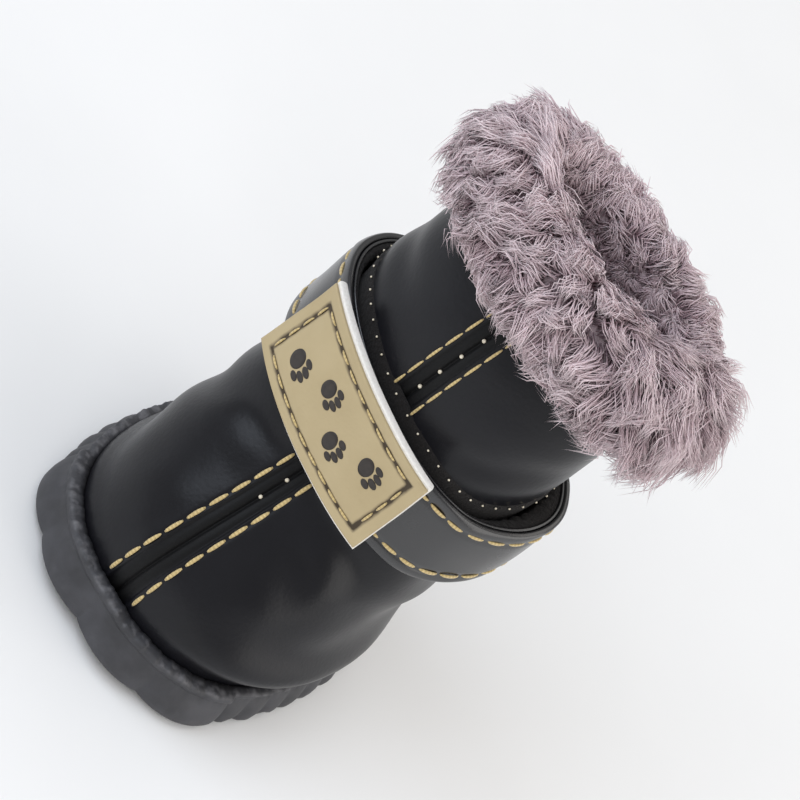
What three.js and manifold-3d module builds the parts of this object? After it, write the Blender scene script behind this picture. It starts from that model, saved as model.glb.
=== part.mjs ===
// Winter boot for a dog's paw: rubber cup sole, leather upper, insole, ankle strap, label and fur collar.
// Millimetres, +Z up, toe towards -Y, origin on the floor under the forefoot. In every function turn is the
// angle round the boot from the middle of the toe towards +X, height is measured up the boot before its
// shaft leans back, and out is the distance outwards from the outer face of the upper.

import * as THREE from 'three';
import { mergeVertices } from 'three/addons/utils/BufferGeometryUtils.js';
import Module from 'manifold-3d';

const wasm = await Module();
wasm.setup();

// Rows of numbers under named columns
function table(columns, rows) {
  return rows.map((row) => Object.fromEntries(columns.map((name, i) => [name, row[i]])));
}

const DEGREE = Math.PI / 180;
const GAP = 0.35; // clearance between pieces that touch
const PROBE = 1e-3; // step for measuring slopes
const LENGTH_SAMPLES = 721; // points for measuring a length along a curve

// Last: horizontal sections of the upper's outer face, with the squareness of their toe and heel ends
const SECTIONS = table(
  ['height', 'toe', 'heel', 'half', 'toeSquare', 'heelSquare'],
  [
    [4.8, 26.4, 25.4, 20.2, 2.4, 2.3],
    [8.5, 27.6, 26.4, 21.4, 2.4, 2.3],
    [13.0, 28.0, 26.6, 22.2, 2.4, 2.3],
    [18.0, 26.9, 26.2, 22.3, 2.35, 2.3],
    [23.0, 24.0, 25.4, 21.8, 2.3, 2.25],
    [28.0, 20.2, 24.3, 21.0, 2.25, 2.2],
    [33.0, 16.2, 23.0, 20.1, 2.25, 2.2],
    [37.0, 13.8, 22.0, 19.7, 2.3, 2.15],
    [41.0, 12.6, 21.2, 19.4, 2.3, 2.1],
    [47.0, 12.2, 20.4, 19.3, 2.3, 2.1],
    [52.0, 12.4, 19.8, 19.5, 2.2, 2.1],
    [60.0, 13.2, 18.4, 20.1, 2.1, 2.1],
    [68.0, 12.8, 16.0, 19.8, 2.1, 2.1],
    [76.0, 11.6, 13.4, 19.2, 2.1, 2.1],
    [92.0, 11.0, 11.6, 18.8, 2.1, 2.1],
  ],
);

// Lean of the shaft: a bend between two heights about a line across the boot
const LEAN = { angle: 10 * DEGREE, from: 30, to: 56, y: 2 };

// Upper: leather with its backing, open at both ends, with a sunk seam down the middle of the front
const LEATHER = 1.8;
const UPPER_HEIGHTS = [4.8, 8.5, 13, 18, 23, 28, 33, 37, 41, 47, 52, 58, 64, 70, 75, 80];
const UPPER_COLUMNS = 45;
const SEAM = { edge: 2.5, foot: 1.9, depth: 0.45, clear: 12 * DEGREE };

// Outsole: a cup round the upper's foot line
const FLOOR_TOP = 4.5;
const FOOT_LINE = 8.5; // height of the section that the cup's outline follows
const LIP = { side: 7.4, toe: 1.6, heel: 0.8 }; // height at the sides, and the rise at toe and heel
const SOLE_SIDE = table(
  ['height', 'out', 'scallop'],
  [
    [0.0, 2.0, 1.0],
    [0.9, 2.6, 1.0],
    [3.4, 2.5, 1.0],
    [5.2, 2.2, 0.55],
  ],
);
const LIP_SHOULDER = { below: 0.6, out: 2.0, scallop: 0.15 };
const LIP_OUT = 1.5;
const SCALLOPS = table(
  ['place', 'count', 'pitch', 'depth', 'facets', 'drawnIn'],
  [
    ['toe', 2, 13.2, 1.1, 4, 0],
    ['side', 7, 4.3, 0.6, 2, 0.9],
    ['heel', 3, 0, 0.8, 3, 0], // these share what is left of the edge
  ],
);
const BAND_STEP = 0.5; // length of the step where the edge is drawn in behind the toe
const LIP_DRAWN = 0.6; // share of the step that reaches the lip
const TOE_SPRING = [[-13.5, 0], [-20, 0.25], [-26, 1.0], [-34, 2.4]]; // y and height of the tread
const ARCH = [[4, 0], [5.2, 1.1], [10.3, 1.1], [11.5, 0]];
const GROOVES = [-13.5, -6.5, 18.0];
const GROOVE = { mouth: 2.4, bed: 1.6, depth: 1.3 };
const CUT_HALF_WIDTH = 30;
const CUT_BELOW = -2;

// Insole: a plate on the sole's floor
const INSOLE = { bottom: FLOOR_TOP + GAP, top: 7.3, edge: 0.5, inset: 0.5 };
const INSOLE_COLUMNS = 40;

// Strap: a band wound round the ankle, with its outer end lapped over its inner end at the back
const STRAP = { width: 13.6, thick: 2.0, edge: 0.6, height: 46.3, slant: 8 * DEGREE, lap: 20 * DEGREE };
const STRAP_STATIONS = 54;
const STRAP_SLACK = { left: 1.2, right: 2.6, middle: 95 * DEGREE, spread: 32 * DEGREE }; // most on the +X side
const STRAP_RISE = { by: 4, from: 50 * DEGREE, full: 110 * DEGREE, fades: 120 * DEGREE, gone: 165 * DEGREE };
const STRAP_CLIMB = { from: 125 * DEGREE, to: 155 * DEGREE }; // where the outer end rises over the inner end

// Label: a plate on the strap's front, a little to the left, with its ends lifted
const LABEL = { length: 30, width: 16.2, thick: 1.8, edge: 0.3, shift: -2.5, lift: 0.9 };
const LABEL_STATIONS = 13;

// Collar: a fur ring folded over the top of the shaft, as a profile of heights and distances out
const SHAFT_TOP = UPPER_HEIGHTS.at(-1);
const COLLAR_PROFILE = table(
  ['height', 'out'],
  [
    [74.8, 4.8],
    [77.2, 7.2],
    [82.0, 7.2],
    [86.8, 4.6],
    [88.6, 0.6],
    [87.4, -1.8],
    [84.0, -3.0],
    [76.0, -3.0],
    [68.0, -2.8],
    [68.0, -LEATHER - GAP],
    [72.0, -LEATHER - GAP],
    [76.0, -LEATHER - GAP],
    [SHAFT_TOP + GAP, -LEATHER - GAP],
    [SHAFT_TOP + GAP, GAP],
    [77.0, GAP],
    [74.2, GAP],
  ],
);
const COLLAR_COLUMNS = 36;

// Locks of fur by row: where the row sits, how many locks, and how far each points up and out
const LOCK_ROWS = table(
  ['height', 'out', 'count', 'up', 'outwards', 'length'],
  [
    [76.8, 4.2, 20, -1.0, 0.6, 5.8],
    [79.6, 4.6, 17, -0.5, 0.9, 6.2],
    [82.6, 4.0, 17, 0.2, 1.0, 6.2],
    [85.0, 1.8, 15, 0.9, 0.6, 5.6],
    [84.6, -0.6, 10, 1.0, -0.2, 5.0],
  ],
);
const LOCK = { radius: 3.3, waist: 0.6, taper: 0.72, sway: 0.8, spread: 0.35, sides: 4, shortest: 0.85, longest: 1.15 };

// Pieces of geometry that all the parts share

// A cubic through one column of the sections, level past the first and the last
function section(name, height) {
  const last = SECTIONS.length - 1;
  const level = THREE.MathUtils.clamp(height, SECTIONS[0].height, SECTIONS[last].height);
  let i = 0;
  while (i < last - 1 && level > SECTIONS[i + 1].height) i += 1;
  const slope = (k) => {
    const below = SECTIONS[Math.max(k - 1, 0)];
    const above = SECTIONS[Math.min(k + 1, last)];
    return (above[name] - below[name]) / (above.height - below.height);
  };
  const span = SECTIONS[i + 1].height - SECTIONS[i].height;
  const t = (level - SECTIONS[i].height) / span;
  const start = (1 + 2 * t) * (1 - t) ** 2 * SECTIONS[i][name] + t * (1 - t) ** 2 * span * slope(i);
  const end = t * t * (3 - 2 * t) * SECTIONS[i + 1][name] + t * t * (t - 1) * span * slope(i + 1);
  return start + end;
}

function signedPower(value, exponent) {
  return Math.sign(value) * Math.abs(value) ** exponent;
}

// Upright outer face of the upper: two half superellipses that meet at the widest line
function wallPoint(turn, height) {
  const toe = section('toe', height);
  const heel = section('heel', height);
  const ahead = Math.cos(turn);
  const exponent = 2 / section(ahead > 0 ? 'toeSquare' : 'heelSquare', height);
  const x = section('half', height) * signedPower(Math.sin(turn), exponent);
  const y = (heel - toe) / 2 - (heel + toe) / 2 * signedPower(ahead, exponent);
  return new THREE.Vector3(x, y, height);
}

// The bend of the shaft: level sections turn about an arc, and stay straight past its end
function leanBack({ x, y, z }) {
  const radius = (LEAN.to - LEAN.from) / LEAN.angle;
  const turned = THREE.MathUtils.clamp(z - LEAN.from, 0, LEAN.to - LEAN.from) / radius;
  const past = Math.max(z - LEAN.to, 0);
  const side = y - LEAN.y;
  const lineY = LEAN.y + radius * (1 - Math.cos(turned)) + past * Math.sin(LEAN.angle);
  const lineZ = Math.min(z, LEAN.from) + radius * Math.sin(turned) + past * Math.cos(LEAN.angle);
  return new THREE.Vector3(x, lineY + side * Math.cos(turned), lineZ - side * Math.sin(turned));
}

// A point at a distance out from the upper's outer face, after the lean
function upperPoint(turn, height, out) {
  const along = wallPoint(turn + PROBE, height).sub(wallPoint(turn - PROBE, height));
  const rise = wallPoint(turn, height + PROBE).sub(wallPoint(turn, height - PROBE));
  return leanBack(wallPoint(turn, height).addScaledVector(along.cross(rise).normalize(), out));
}

// A point at a distance out on the level, for the pieces under the foot
function levelPoint(turn, height, out) {
  const along = wallPoint(turn + PROBE, height).sub(wallPoint(turn - PROBE, height)).normalize();
  const { x, y } = wallPoint(turn, height);
  return new THREE.Vector3(x + along.y * out, y - along.x * out, height);
}

// The turn at which the upright outer face is a given distance x from the boot's middle, at the front
function turnAtSide(x, height) {
  const exponent = section('toeSquare', height) / 2;
  return Math.asin(signedPower(x / section('half', height), exponent));
}

// Turns all the way round, without repeating the first
function roundTurns(count) {
  return Array.from({ length: count }, (_, i) => 2 * Math.PI * i / count);
}

// Evenly spread values from start to end, both included
function spread(start, end, count) {
  return Array.from({ length: count }, (_, i) => start + (end - start) * i / (count - 1));
}

// The turn at each length along a line round the boot, measured from where the line starts
function lengthMap(place, start, end) {
  const turns = spread(start, end, LENGTH_SAMPLES);
  const points = turns.map(place);
  const lengths = [0];
  for (let i = 1; i < points.length; i += 1) lengths.push(lengths[i - 1] + points[i].distanceTo(points[i - 1]));
  const turnAt = (length) => {
    const i = Math.max(lengths.findIndex((value) => value >= length), 1);
    const share = (length - lengths[i - 1]) / (lengths[i] - lengths[i - 1]);
    return THREE.MathUtils.lerp(turns[i - 1], turns[i], share);
  };
  return { turnAt, total: lengths.at(-1) };
}

// One closed solid through rings of points: the last ring joins the first, or fans close both ends
function skin(rings, { joined = false, ends = null } = {}) {
  const size = rings[0].length;
  const points = rings.flat();
  const faces = [];
  const bands = joined ? rings.length : rings.length - 1;
  for (let i = 0; i < bands; i += 1) {
    const low = i * size;
    const high = (i + 1) % rings.length * size;
    for (let j = 0; j < size; j += 1) {
      const k = (j + 1) % size;
      faces.push(low + j, low + k, high + k, low + j, high + k, high + j);
    }
  }
  if (!joined) {
    const middle = (ring) => ring.reduce((sum, p) => sum.add(p), new THREE.Vector3()).divideScalar(size);
    const [first, last] = ends ?? [middle(rings[0]), middle(rings.at(-1))];
    const top = points.length - size;
    points.push(first, last);
    for (let j = 0; j < size; j += 1) {
      const k = (j + 1) % size;
      faces.push(points.length - 2, k, j, points.length - 1, top + j, top + k);
    }
  }
  const geometry = new THREE.BufferGeometry();
  geometry.setAttribute('position', new THREE.Float32BufferAttribute(points.flatMap((p) => p.toArray()), 3));
  geometry.setIndex(faces);
  return geometry;
}

function toSolid(geometry) {
  geometry.deleteAttribute('normal');
  geometry.deleteAttribute('uv');
  const merged = mergeVertices(geometry);
  const vertProperties = new Float32Array(merged.attributes.position.array);
  const triVerts = new Uint32Array(merged.index.array);
  return new wasm.Manifold(new wasm.Mesh({ numProp: 3, vertProperties, triVerts }));
}

function toGeometry(solid) {
  const { vertProperties, triVerts } = solid.getMesh();
  const geometry = new THREE.BufferGeometry();
  geometry.setAttribute('position', new THREE.BufferAttribute(vertProperties, 3));
  geometry.setIndex(new THREE.BufferAttribute(triVerts, 1));
  return geometry;
}

// Outsole

// A point of the cup's side, on the foot line's outline
function solePoint(turn, out, height) {
  return levelPoint(turn, FOOT_LINE, out).setZ(height);
}

// Turns and scallop depths of the cup's columns, evenly spaced along the edge of each scallop
function soleColumns() {
  const { turnAt, total } = lengthMap((turn) => solePoint(turn, SOLE_SIDE[0].out, 0), 0, Math.PI);
  const fixed = SCALLOPS.reduce((sum, { count, pitch }) => sum + count * pitch, 0);
  const half = [];
  let start = 0;
  for (const { count, pitch, depth, facets, drawnIn } of SCALLOPS) {
    const width = pitch || (total - fixed) / count;
    for (let i = 0; i < count * facets; i += 1) {
      const bulge = depth * Math.abs(Math.sin(Math.PI * i / facets));
      half.push({ turn: turnAt(start + width * i / facets), bulge, drawnIn });
    }
    start += width * count;
    if (pitch) half.push({ turn: turnAt(start - BAND_STEP), bulge: 0, drawnIn });
  }
  const otherHalf = half.slice(1).reverse().map((column) => ({ ...column, turn: -column.turn }));
  return [...half, { turn: Math.PI, bulge: 0, drawnIn: 0 }, ...otherHalf];
}

function lipHeight(turn) {
  const ahead = Math.cos(turn);
  return LIP.side + (ahead > 0 ? LIP.toe : LIP.heel) * ahead ** 2;
}

// A bar right across the boot, from its outline in y and height, for cutting the tread
function crossBar(outline) {
  const shape = new THREE.Shape(outline.map(([y, z]) => new THREE.Vector2(y, z)));
  const bar = new THREE.ExtrudeGeometry(shape, { depth: 2 * CUT_HALF_WIDTH, bevelEnabled: false });
  bar.translate(0, 0, -CUT_HALF_WIDTH);
  const axes = [new THREE.Vector3(0, 1, 0), new THREE.Vector3(0, 0, 1), new THREE.Vector3(1, 0, 0)];
  return toSolid(bar.applyMatrix4(new THREE.Matrix4().makeBasis(...axes)));
}

// A cut whose outline runs under the tread from its first point to its last
function treadCut(outline) {
  const [firstY] = outline[0];
  const [lastY] = outline.at(-1);
  return crossBar([...outline, [lastY, CUT_BELOW], [firstY, CUT_BELOW]]);
}

function grooveCut(y) {
  const mouth = GROOVE.mouth / 2;
  const bed = GROOVE.bed / 2;
  return treadCut([[y - mouth, 0], [y - bed, GROOVE.depth], [y + bed, GROOVE.depth], [y + mouth, 0]]);
}

function outsole() {
  const columns = soleColumns();
  const ring = (place) => columns.map(place);
  const cup = skin([
    ...SOLE_SIDE.map(({ height, out, scallop }) => ring(({ turn, bulge, drawnIn }) => (
      solePoint(turn, out + scallop * bulge - drawnIn, height)))),
    ring(({ turn, bulge, drawnIn }) => solePoint(
      turn, LIP_SHOULDER.out + LIP_SHOULDER.scallop * bulge - drawnIn, lipHeight(turn) - LIP_SHOULDER.below)),
    ring(({ turn, drawnIn }) => solePoint(turn, LIP_OUT - LIP_DRAWN * drawnIn, lipHeight(turn))),
    ring(({ turn }) => upperPoint(turn, lipHeight(turn), GAP)),
    ring(({ turn }) => upperPoint(turn, FLOOR_TOP, GAP)),
  ]);
  const cuts = [treadCut(TOE_SPRING), treadCut(ARCH), ...GROOVES.map(grooveCut)];
  return toGeometry(cuts.reduce((sole, cut) => sole.subtract(cut), toSolid(cup)));
}

// Upper

function upper() {
  const outerRings = [];
  const innerRings = [];
  for (const height of UPPER_HEIGHTS) {
    const seamSides = [-SEAM.edge, -SEAM.foot, SEAM.foot, SEAM.edge];
    const seam = seamSides.map((x) => ({
      turn: turnAtSide(x, height),
      sunk: Math.abs(x) < SEAM.edge ? SEAM.depth : 0,
    }));
    const rest = spread(SEAM.clear, 2 * Math.PI - SEAM.clear, UPPER_COLUMNS).map((turn) => ({ turn, sunk: 0 }));
    const columns = [...seam, ...rest];
    outerRings.push(columns.map(({ turn, sunk }) => upperPoint(turn, height, -sunk)));
    innerRings.push(columns.map(({ turn }) => upperPoint(turn, height, -LEATHER)));
  }
  return skin([...outerRings, ...innerRings.reverse()], { joined: true });
}

// Insole

function insole() {
  const turns = roundTurns(INSOLE_COLUMNS);
  const ring = (height, inset) => turns.map((turn) => levelPoint(turn, height, -LEATHER - inset));
  return skin([
    ring(INSOLE.bottom, INSOLE.inset),
    ring(INSOLE.top - INSOLE.edge, INSOLE.inset),
    ring(INSOLE.top, INSOLE.inset + INSOLE.edge),
  ]);
}

// Strap

// How far the strap's inner face stands off the upper: close in front, slack at the sides, lapped at the end
function strapOut(turn) {
  const left = STRAP_SLACK.left * Math.min(Math.sin(turn), 0) ** 2;
  const right = STRAP_SLACK.right * Math.exp(-(((turn - STRAP_SLACK.middle) / STRAP_SLACK.spread) ** 2));
  const climb = THREE.MathUtils.smoothstep(turn, STRAP_CLIMB.from, STRAP_CLIMB.to);
  return GAP + left + right + climb * (STRAP.thick + GAP);
}

// Height of the strap's middle line: slanted across the boot, and rising where its slack side goes to the back
function strapHeight(turn) {
  const across = section('half', STRAP.height) * Math.sin(turn);
  const rise = THREE.MathUtils.smoothstep(turn, STRAP_RISE.from, STRAP_RISE.full)
    - THREE.MathUtils.smoothstep(turn, STRAP_RISE.fades, STRAP_RISE.gone);
  return STRAP.height - across * Math.tan(STRAP.slant) + STRAP_RISE.by * rise;
}

// A band along the boot: stations are turns, and its section is a plate with small bevels
function band(turns, { width, thick, edge }, outAt) {
  const half = width / 2;
  const plate = [
    [half - edge, thick], [edge - half, thick], [-half, thick - edge], [-half, edge],
    [edge - half, 0], [half - edge, 0], [half, edge], [half, thick - edge],
  ];
  return skin(turns.map((turn) => plate.map(([rise, out]) => (
    upperPoint(turn, strapHeight(turn) + rise, outAt(turn) + out)))));
}

function strap() {
  const end = Math.PI + STRAP.lap;
  return band(spread(-end, end, STRAP_STATIONS), STRAP, strapOut);
}

// Label

function label() {
  const over = STRAP.thick + GAP;
  const middleLine = (turn) => upperPoint(turn, STRAP.height, strapOut(0) + over);
  const { turnAt, total } = lengthMap(middleLine, -Math.PI / 2, Math.PI / 2);
  const middle = total / 2 + LABEL.shift;
  const half = LABEL.length / 2;
  const turns = spread(middle - half, middle + half, LABEL_STATIONS).map(turnAt);
  const centre = turnAt(middle);
  const lift = (turn) => LABEL.lift * ((turn - centre) / (turns.at(-1) - centre)) ** 2;
  return band(turns, LABEL, (turn) => strapOut(turn) + over + lift(turn));
}

// Collar

// A repeatable number from 0 to 1 for each lock and use
function scatter(lock, use) {
  const value = Math.sin(lock * 12.9898 + use * 78.233) * 43758.5453;
  return value - Math.floor(value);
}

// One lock: a square root under the fur's surface, a waist, and a tip that sways along the boot
function furLock(root, aim, sway, length, radius) {
  const side = new THREE.Vector3().crossVectors(aim, sway).normalize();
  const across = new THREE.Vector3().crossVectors(side, aim).normalize();
  const ring = (centre, size) => roundTurns(LOCK.sides).map((angle) => centre.clone()
    .addScaledVector(across, size * Math.cos(angle))
    .addScaledVector(side, size * Math.sin(angle)));
  const waist = root.clone().addScaledVector(aim, length * LOCK.waist);
  const tip = root.clone().addScaledVector(aim, length).addScaledVector(sway, length * LOCK.spread);
  return toSolid(skin([ring(root, radius), ring(waist, radius * LOCK.taper)], { ends: [root, tip] }));
}

function collar() {
  const turns = roundTurns(COLLAR_COLUMNS);
  const rings = COLLAR_PROFILE.map(({ height, out }) => turns.map((turn) => upperPoint(turn, height, out)));
  let fur = toSolid(skin(rings, { joined: true }));
  let lock = 0;
  LOCK_ROWS.forEach(({ height, out, count, up, outwards, length }, row) => {
    for (const even of roundTurns(count)) {
      lock += 1;
      const turn = even + (row % 2 + LOCK.sway * (scatter(lock, 0) - 0.5)) * Math.PI / count;
      const root = upperPoint(turn, height, out);
      const rise = upperPoint(turn, height + 1, out).sub(root).normalize();
      const away = upperPoint(turn, height, out + 1).sub(root).normalize();
      const along = new THREE.Vector3().crossVectors(away, rise).multiplyScalar(scatter(lock, 1) < 0.5 ? -1 : 1);
      const aim = rise.multiplyScalar(up).addScaledVector(away, outwards)
        .addScaledVector(along, LOCK.spread * scatter(lock, 2)).normalize();
      const reach = length * THREE.MathUtils.lerp(LOCK.shortest, LOCK.longest, scatter(lock, 3));
      fur = fur.add(furLock(root, aim, along, reach, LOCK.radius));
    }
  });
  return toGeometry(fur);
}

function part(name, geometry, look) {
  const mesh = new THREE.Mesh(geometry, new THREE.MeshStandardMaterial({ metalness: 0, ...look }));
  mesh.name = name;
  return mesh;
}

const boot = new THREE.Group();
boot.add(
  part('outsole', outsole(), { color: 0x26262a, roughness: 0.7 }),
  part('upper', upper(), { color: 0x17171a, roughness: 0.38 }),
  part('insole', insole(), { color: 0x4a4448, roughness: 0.95 }),
  part('strap', strap(), { color: 0x1b1b1e, roughness: 0.42 }),
  part('label', label(), { color: 0xc4ac7c, roughness: 0.7 }),
  part('collar', collar(), { color: 0x9a8a90, roughness: 0.95 }),
);

export default boot;
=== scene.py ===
"""Looks of a winter boot for a dog's paw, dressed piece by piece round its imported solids.

Sizes are in millimetres, with +Z up and the toe towards -Y. Turn is the angle round the boot from the middle
of the toe towards +X, height is measured up the boot before its shaft leans back, and out is the distance
outwards from the leather's outer face.
"""

import bpy
import numpy as np
from mathutils import Matrix


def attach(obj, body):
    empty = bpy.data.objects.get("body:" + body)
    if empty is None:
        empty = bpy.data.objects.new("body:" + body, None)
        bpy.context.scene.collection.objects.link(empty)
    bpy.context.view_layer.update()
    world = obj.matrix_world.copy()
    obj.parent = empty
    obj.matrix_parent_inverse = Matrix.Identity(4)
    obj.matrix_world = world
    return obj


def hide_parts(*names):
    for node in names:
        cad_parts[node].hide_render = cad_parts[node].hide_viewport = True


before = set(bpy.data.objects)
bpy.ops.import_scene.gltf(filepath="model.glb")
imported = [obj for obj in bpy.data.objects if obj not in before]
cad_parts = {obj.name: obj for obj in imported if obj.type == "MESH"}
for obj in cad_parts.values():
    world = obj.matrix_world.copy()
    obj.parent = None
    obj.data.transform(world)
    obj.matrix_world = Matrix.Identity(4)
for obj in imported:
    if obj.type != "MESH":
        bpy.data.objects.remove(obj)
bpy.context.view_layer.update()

# Outsole
# A cup of black rubber, moulded in one piece and cemented round the foot of the upper. Scallops run round its
# edge, a thicker band wraps the toe and ends in a worn lip, and cross grooves and a low arch cut the tread.

# The last that every piece follows: height, reach to toe and to heel, half width, squareness of toe and heel
SECTIONS = np.array([
    (4.8, 26.4, 25.4, 20.2, 2.4, 2.3),
    (8.5, 27.6, 26.4, 21.4, 2.4, 2.3),
    (13.0, 28.0, 26.6, 22.2, 2.4, 2.3),
    (18.0, 26.9, 26.2, 22.3, 2.35, 2.3),
    (23.0, 24.0, 25.4, 21.8, 2.3, 2.25),
    (28.0, 20.2, 24.3, 21.0, 2.25, 2.2),
    (33.0, 16.2, 23.0, 20.1, 2.25, 2.2),
    (37.0, 13.8, 22.0, 19.7, 2.3, 2.15),
    (41.0, 12.6, 21.2, 19.4, 2.3, 2.1),
    (47.0, 12.2, 20.4, 19.3, 2.3, 2.1),
    (52.0, 12.4, 19.8, 19.5, 2.2, 2.1),
    (60.0, 13.2, 18.4, 20.1, 2.1, 2.1),
    (68.0, 12.8, 16.0, 19.8, 2.1, 2.1),
    (76.0, 11.6, 13.4, 19.2, 2.1, 2.1),
    (92.0, 11.0, 11.6, 18.8, 2.1, 2.1),
])
HEIGHT, TOE, HEEL, HALF, TOE_SQUARE, HEEL_SQUARE = range(6)
LEAN_ANGLE, LEAN_FROM, LEAN_TO, LEAN_Y = np.radians(10), 30.0, 56.0, 2.0
PROBE = 1e-3  # step over which the last's slopes are measured
GAP = 0.35  # left between pieces that touch
MM = 0.001


def section(column, height):
    """One column of the sections at a height: a cubic with slopes from the rows on either side."""
    levels, values = SECTIONS[:, HEIGHT], SECTIONS[:, column]
    below, above = np.r_[0, :len(levels) - 1], np.r_[1:len(levels), len(levels) - 1]
    slopes = (values[above] - values[below]) / (levels[above] - levels[below])
    height = np.clip(height, levels[0], levels[-1])
    i = np.clip(np.searchsorted(levels, height, side="right") - 1, 0, len(levels) - 2)
    span = levels[i + 1] - levels[i]
    t = (height - levels[i]) / span
    start = (1 + 2 * t) * (1 - t) ** 2 * values[i] + t * (1 - t) ** 2 * span * slopes[i]
    end = t * t * (3 - 2 * t) * values[i + 1] + t * t * (t - 1) * span * slopes[i + 1]
    return start + end


def wall_point(turn, height):
    """The last, upright: each level is two half superellipses that meet at the widest line."""
    turn, height = np.broadcast_arrays(np.asarray(turn, float), np.asarray(height, float))
    ahead, side = np.cos(turn), np.sin(turn)
    toe, heel = section(TOE, height), section(HEEL, height)
    power = 2 / np.where(ahead > 0, section(TOE_SQUARE, height), section(HEEL_SQUARE, height))
    x = section(HALF, height) * np.sign(side) * np.abs(side) ** power
    y = (heel - toe) / 2 - (heel + toe) / 2 * np.sign(ahead) * np.abs(ahead) ** power
    return np.stack([x, y, height], -1)


def lean_back(points):
    """The shaft's bend: levels turn about an arc between two heights, and go on straight past it."""
    x, y, z = np.moveaxis(points, -1, 0)
    radius = (LEAN_TO - LEAN_FROM) / LEAN_ANGLE
    turned = np.clip(z - LEAN_FROM, 0, LEAN_TO - LEAN_FROM) / radius
    past = np.maximum(z - LEAN_TO, 0)
    line_y = LEAN_Y + radius * (1 - np.cos(turned)) + past * np.sin(LEAN_ANGLE)
    line_z = np.minimum(z, LEAN_FROM) + radius * np.sin(turned) + past * np.cos(LEAN_ANGLE)
    side = y - LEAN_Y
    return np.stack([x, line_y + side * np.cos(turned), line_z - side * np.sin(turned)], -1)


def unit(vectors):
    """Vectors divided by their lengths, with the length kept off zero."""
    return vectors / np.maximum(np.linalg.norm(vectors, axis=-1, keepdims=True), 1e-12)


def upper_point(turn, height, out):
    """The last moved out along its own normal, then leaned back."""
    along = wall_point(turn + PROBE, height) - wall_point(turn - PROBE, height)
    rise = wall_point(turn, height + PROBE) - wall_point(turn, height - PROBE)
    return lean_back(wall_point(turn, height) + unit(np.cross(along, rise)) * np.asarray(out)[..., None])


def level_point(turn, height, out):
    """The last's outline at one height, moved out on the level."""
    along = unit(wall_point(turn + PROBE, height) - wall_point(turn - PROBE, height))
    normal = np.stack([along[..., 1], -along[..., 0], np.zeros_like(along[..., 0])], -1)
    return wall_point(turn, height) + normal * np.asarray(out)[..., None]


def smooth(value, low, high):
    """Smooth step from 0 at low to 1 at high."""
    t = np.clip((value - low) / (high - low), 0, 1)
    return t * t * (3 - 2 * t)


def bell(value, half):
    """A bell curve: 1 at zero, and about a third at the half width."""
    return np.exp(-(value / half) ** 2)


def around(count):
    """Even angles round one full turn."""
    return np.linspace(0, 2 * np.pi, count, endpoint=False)


def lengths_along(path):
    """The length along a path at each of its points."""
    return np.r_[0, np.cumsum(np.linalg.norm(np.diff(path, axis=0), axis=-1))]


def mesh_object(name, points, *face_sets, slot, attributes=None):
    """An object from points in millimetres and arrays of faces, each array with its own number of corners."""
    corners = np.concatenate([faces.ravel() for faces in face_sets])
    sizes = np.concatenate([np.full(len(faces), faces.shape[1]) for faces in face_sets])
    mesh = bpy.data.meshes.new(name)
    mesh.vertices.add(len(points))
    mesh.vertices.foreach_set("co", (points * MM).astype(np.float32).ravel())
    mesh.loops.add(len(corners))
    mesh.loops.foreach_set("vertex_index", corners.astype(np.int32))
    mesh.polygons.add(len(sizes))
    mesh.polygons.foreach_set("loop_start", np.r_[0, np.cumsum(sizes)[:-1]].astype(np.int32))
    for key, values in (attributes or {}).items():
        layer = mesh.attributes.new(key, "FLOAT", "POINT")
        layer.data.foreach_set("value", np.asarray(values, np.float32).ravel())
    mesh.update(calc_edges=True)
    mesh.shade_smooth()
    made = bpy.data.objects.new(name, mesh)
    bpy.context.scene.collection.objects.link(made)
    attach(made, "root")
    return made


def ring_object(name, grid, joined, slot, attributes=None):
    """An object from rings of points: the last joins the first, or each of the two ends in one flat face."""
    rows, columns = grid.shape[:2]
    i = np.arange(rows if joined else rows - 1)[:, None]
    j = np.arange(columns)[None, :]
    k = (j + 1) % columns
    low, high = i * columns, (i + 1) % rows * columns
    faces = [np.stack(np.broadcast_arrays(low + j, low + k, high + k, high + j), -1).reshape(-1, 4)]
    if not joined:
        faces += [j[:, ::-1], (rows - 1) * columns + j]
    return mesh_object(name, grid.reshape(-1, 3), *faces, slot=slot, attributes=attributes)


def colour(code):
    """Linear colour of an sRGB hex code."""
    value = np.array([int(code[i:i + 2], 16) for i in (1, 3, 5)]) / 255
    linear = np.where(value <= 0.04045, value / 12.92, ((value + 0.055) / 1.055) ** 2.4)
    return (*linear, 1.0)


def pattern_scale(size):
    """Scale of a pattern from the size of its features in millimetres: how many of them go to a metre."""
    return 1 / (size * MM)


def add(material, kind, inputs=None, **settings):
    """Add a shader node with its own settings, and with inputs by name, or by number among those in use.

    An input is a value, a hex colour, a socket to link in, or a node, taken as its first output in use.
    """
    tree = material.node_tree
    made = tree.nodes.new("ShaderNode" + kind)
    for key, value in settings.items():
        setattr(made, key, value)
    used = [socket for socket in made.inputs if socket.enabled]
    for key, value in (inputs or {}).items():
        target = used[key] if isinstance(key, int) else next(socket for socket in used if socket.name == key)
        if isinstance(value, str):
            value = colour(value)
        elif isinstance(value, bpy.types.Node):
            value = next(socket for socket in value.outputs if socket.enabled)
        if isinstance(value, bpy.types.NodeSocket):
            tree.links.new(value, target)
        else:
            target.default_value = value
    return made


def new_material(name):
    """A material without nodes."""
    made = bpy.data.materials.new(name)
    made.use_nodes = True
    made.node_tree.nodes.clear()
    return made


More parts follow.
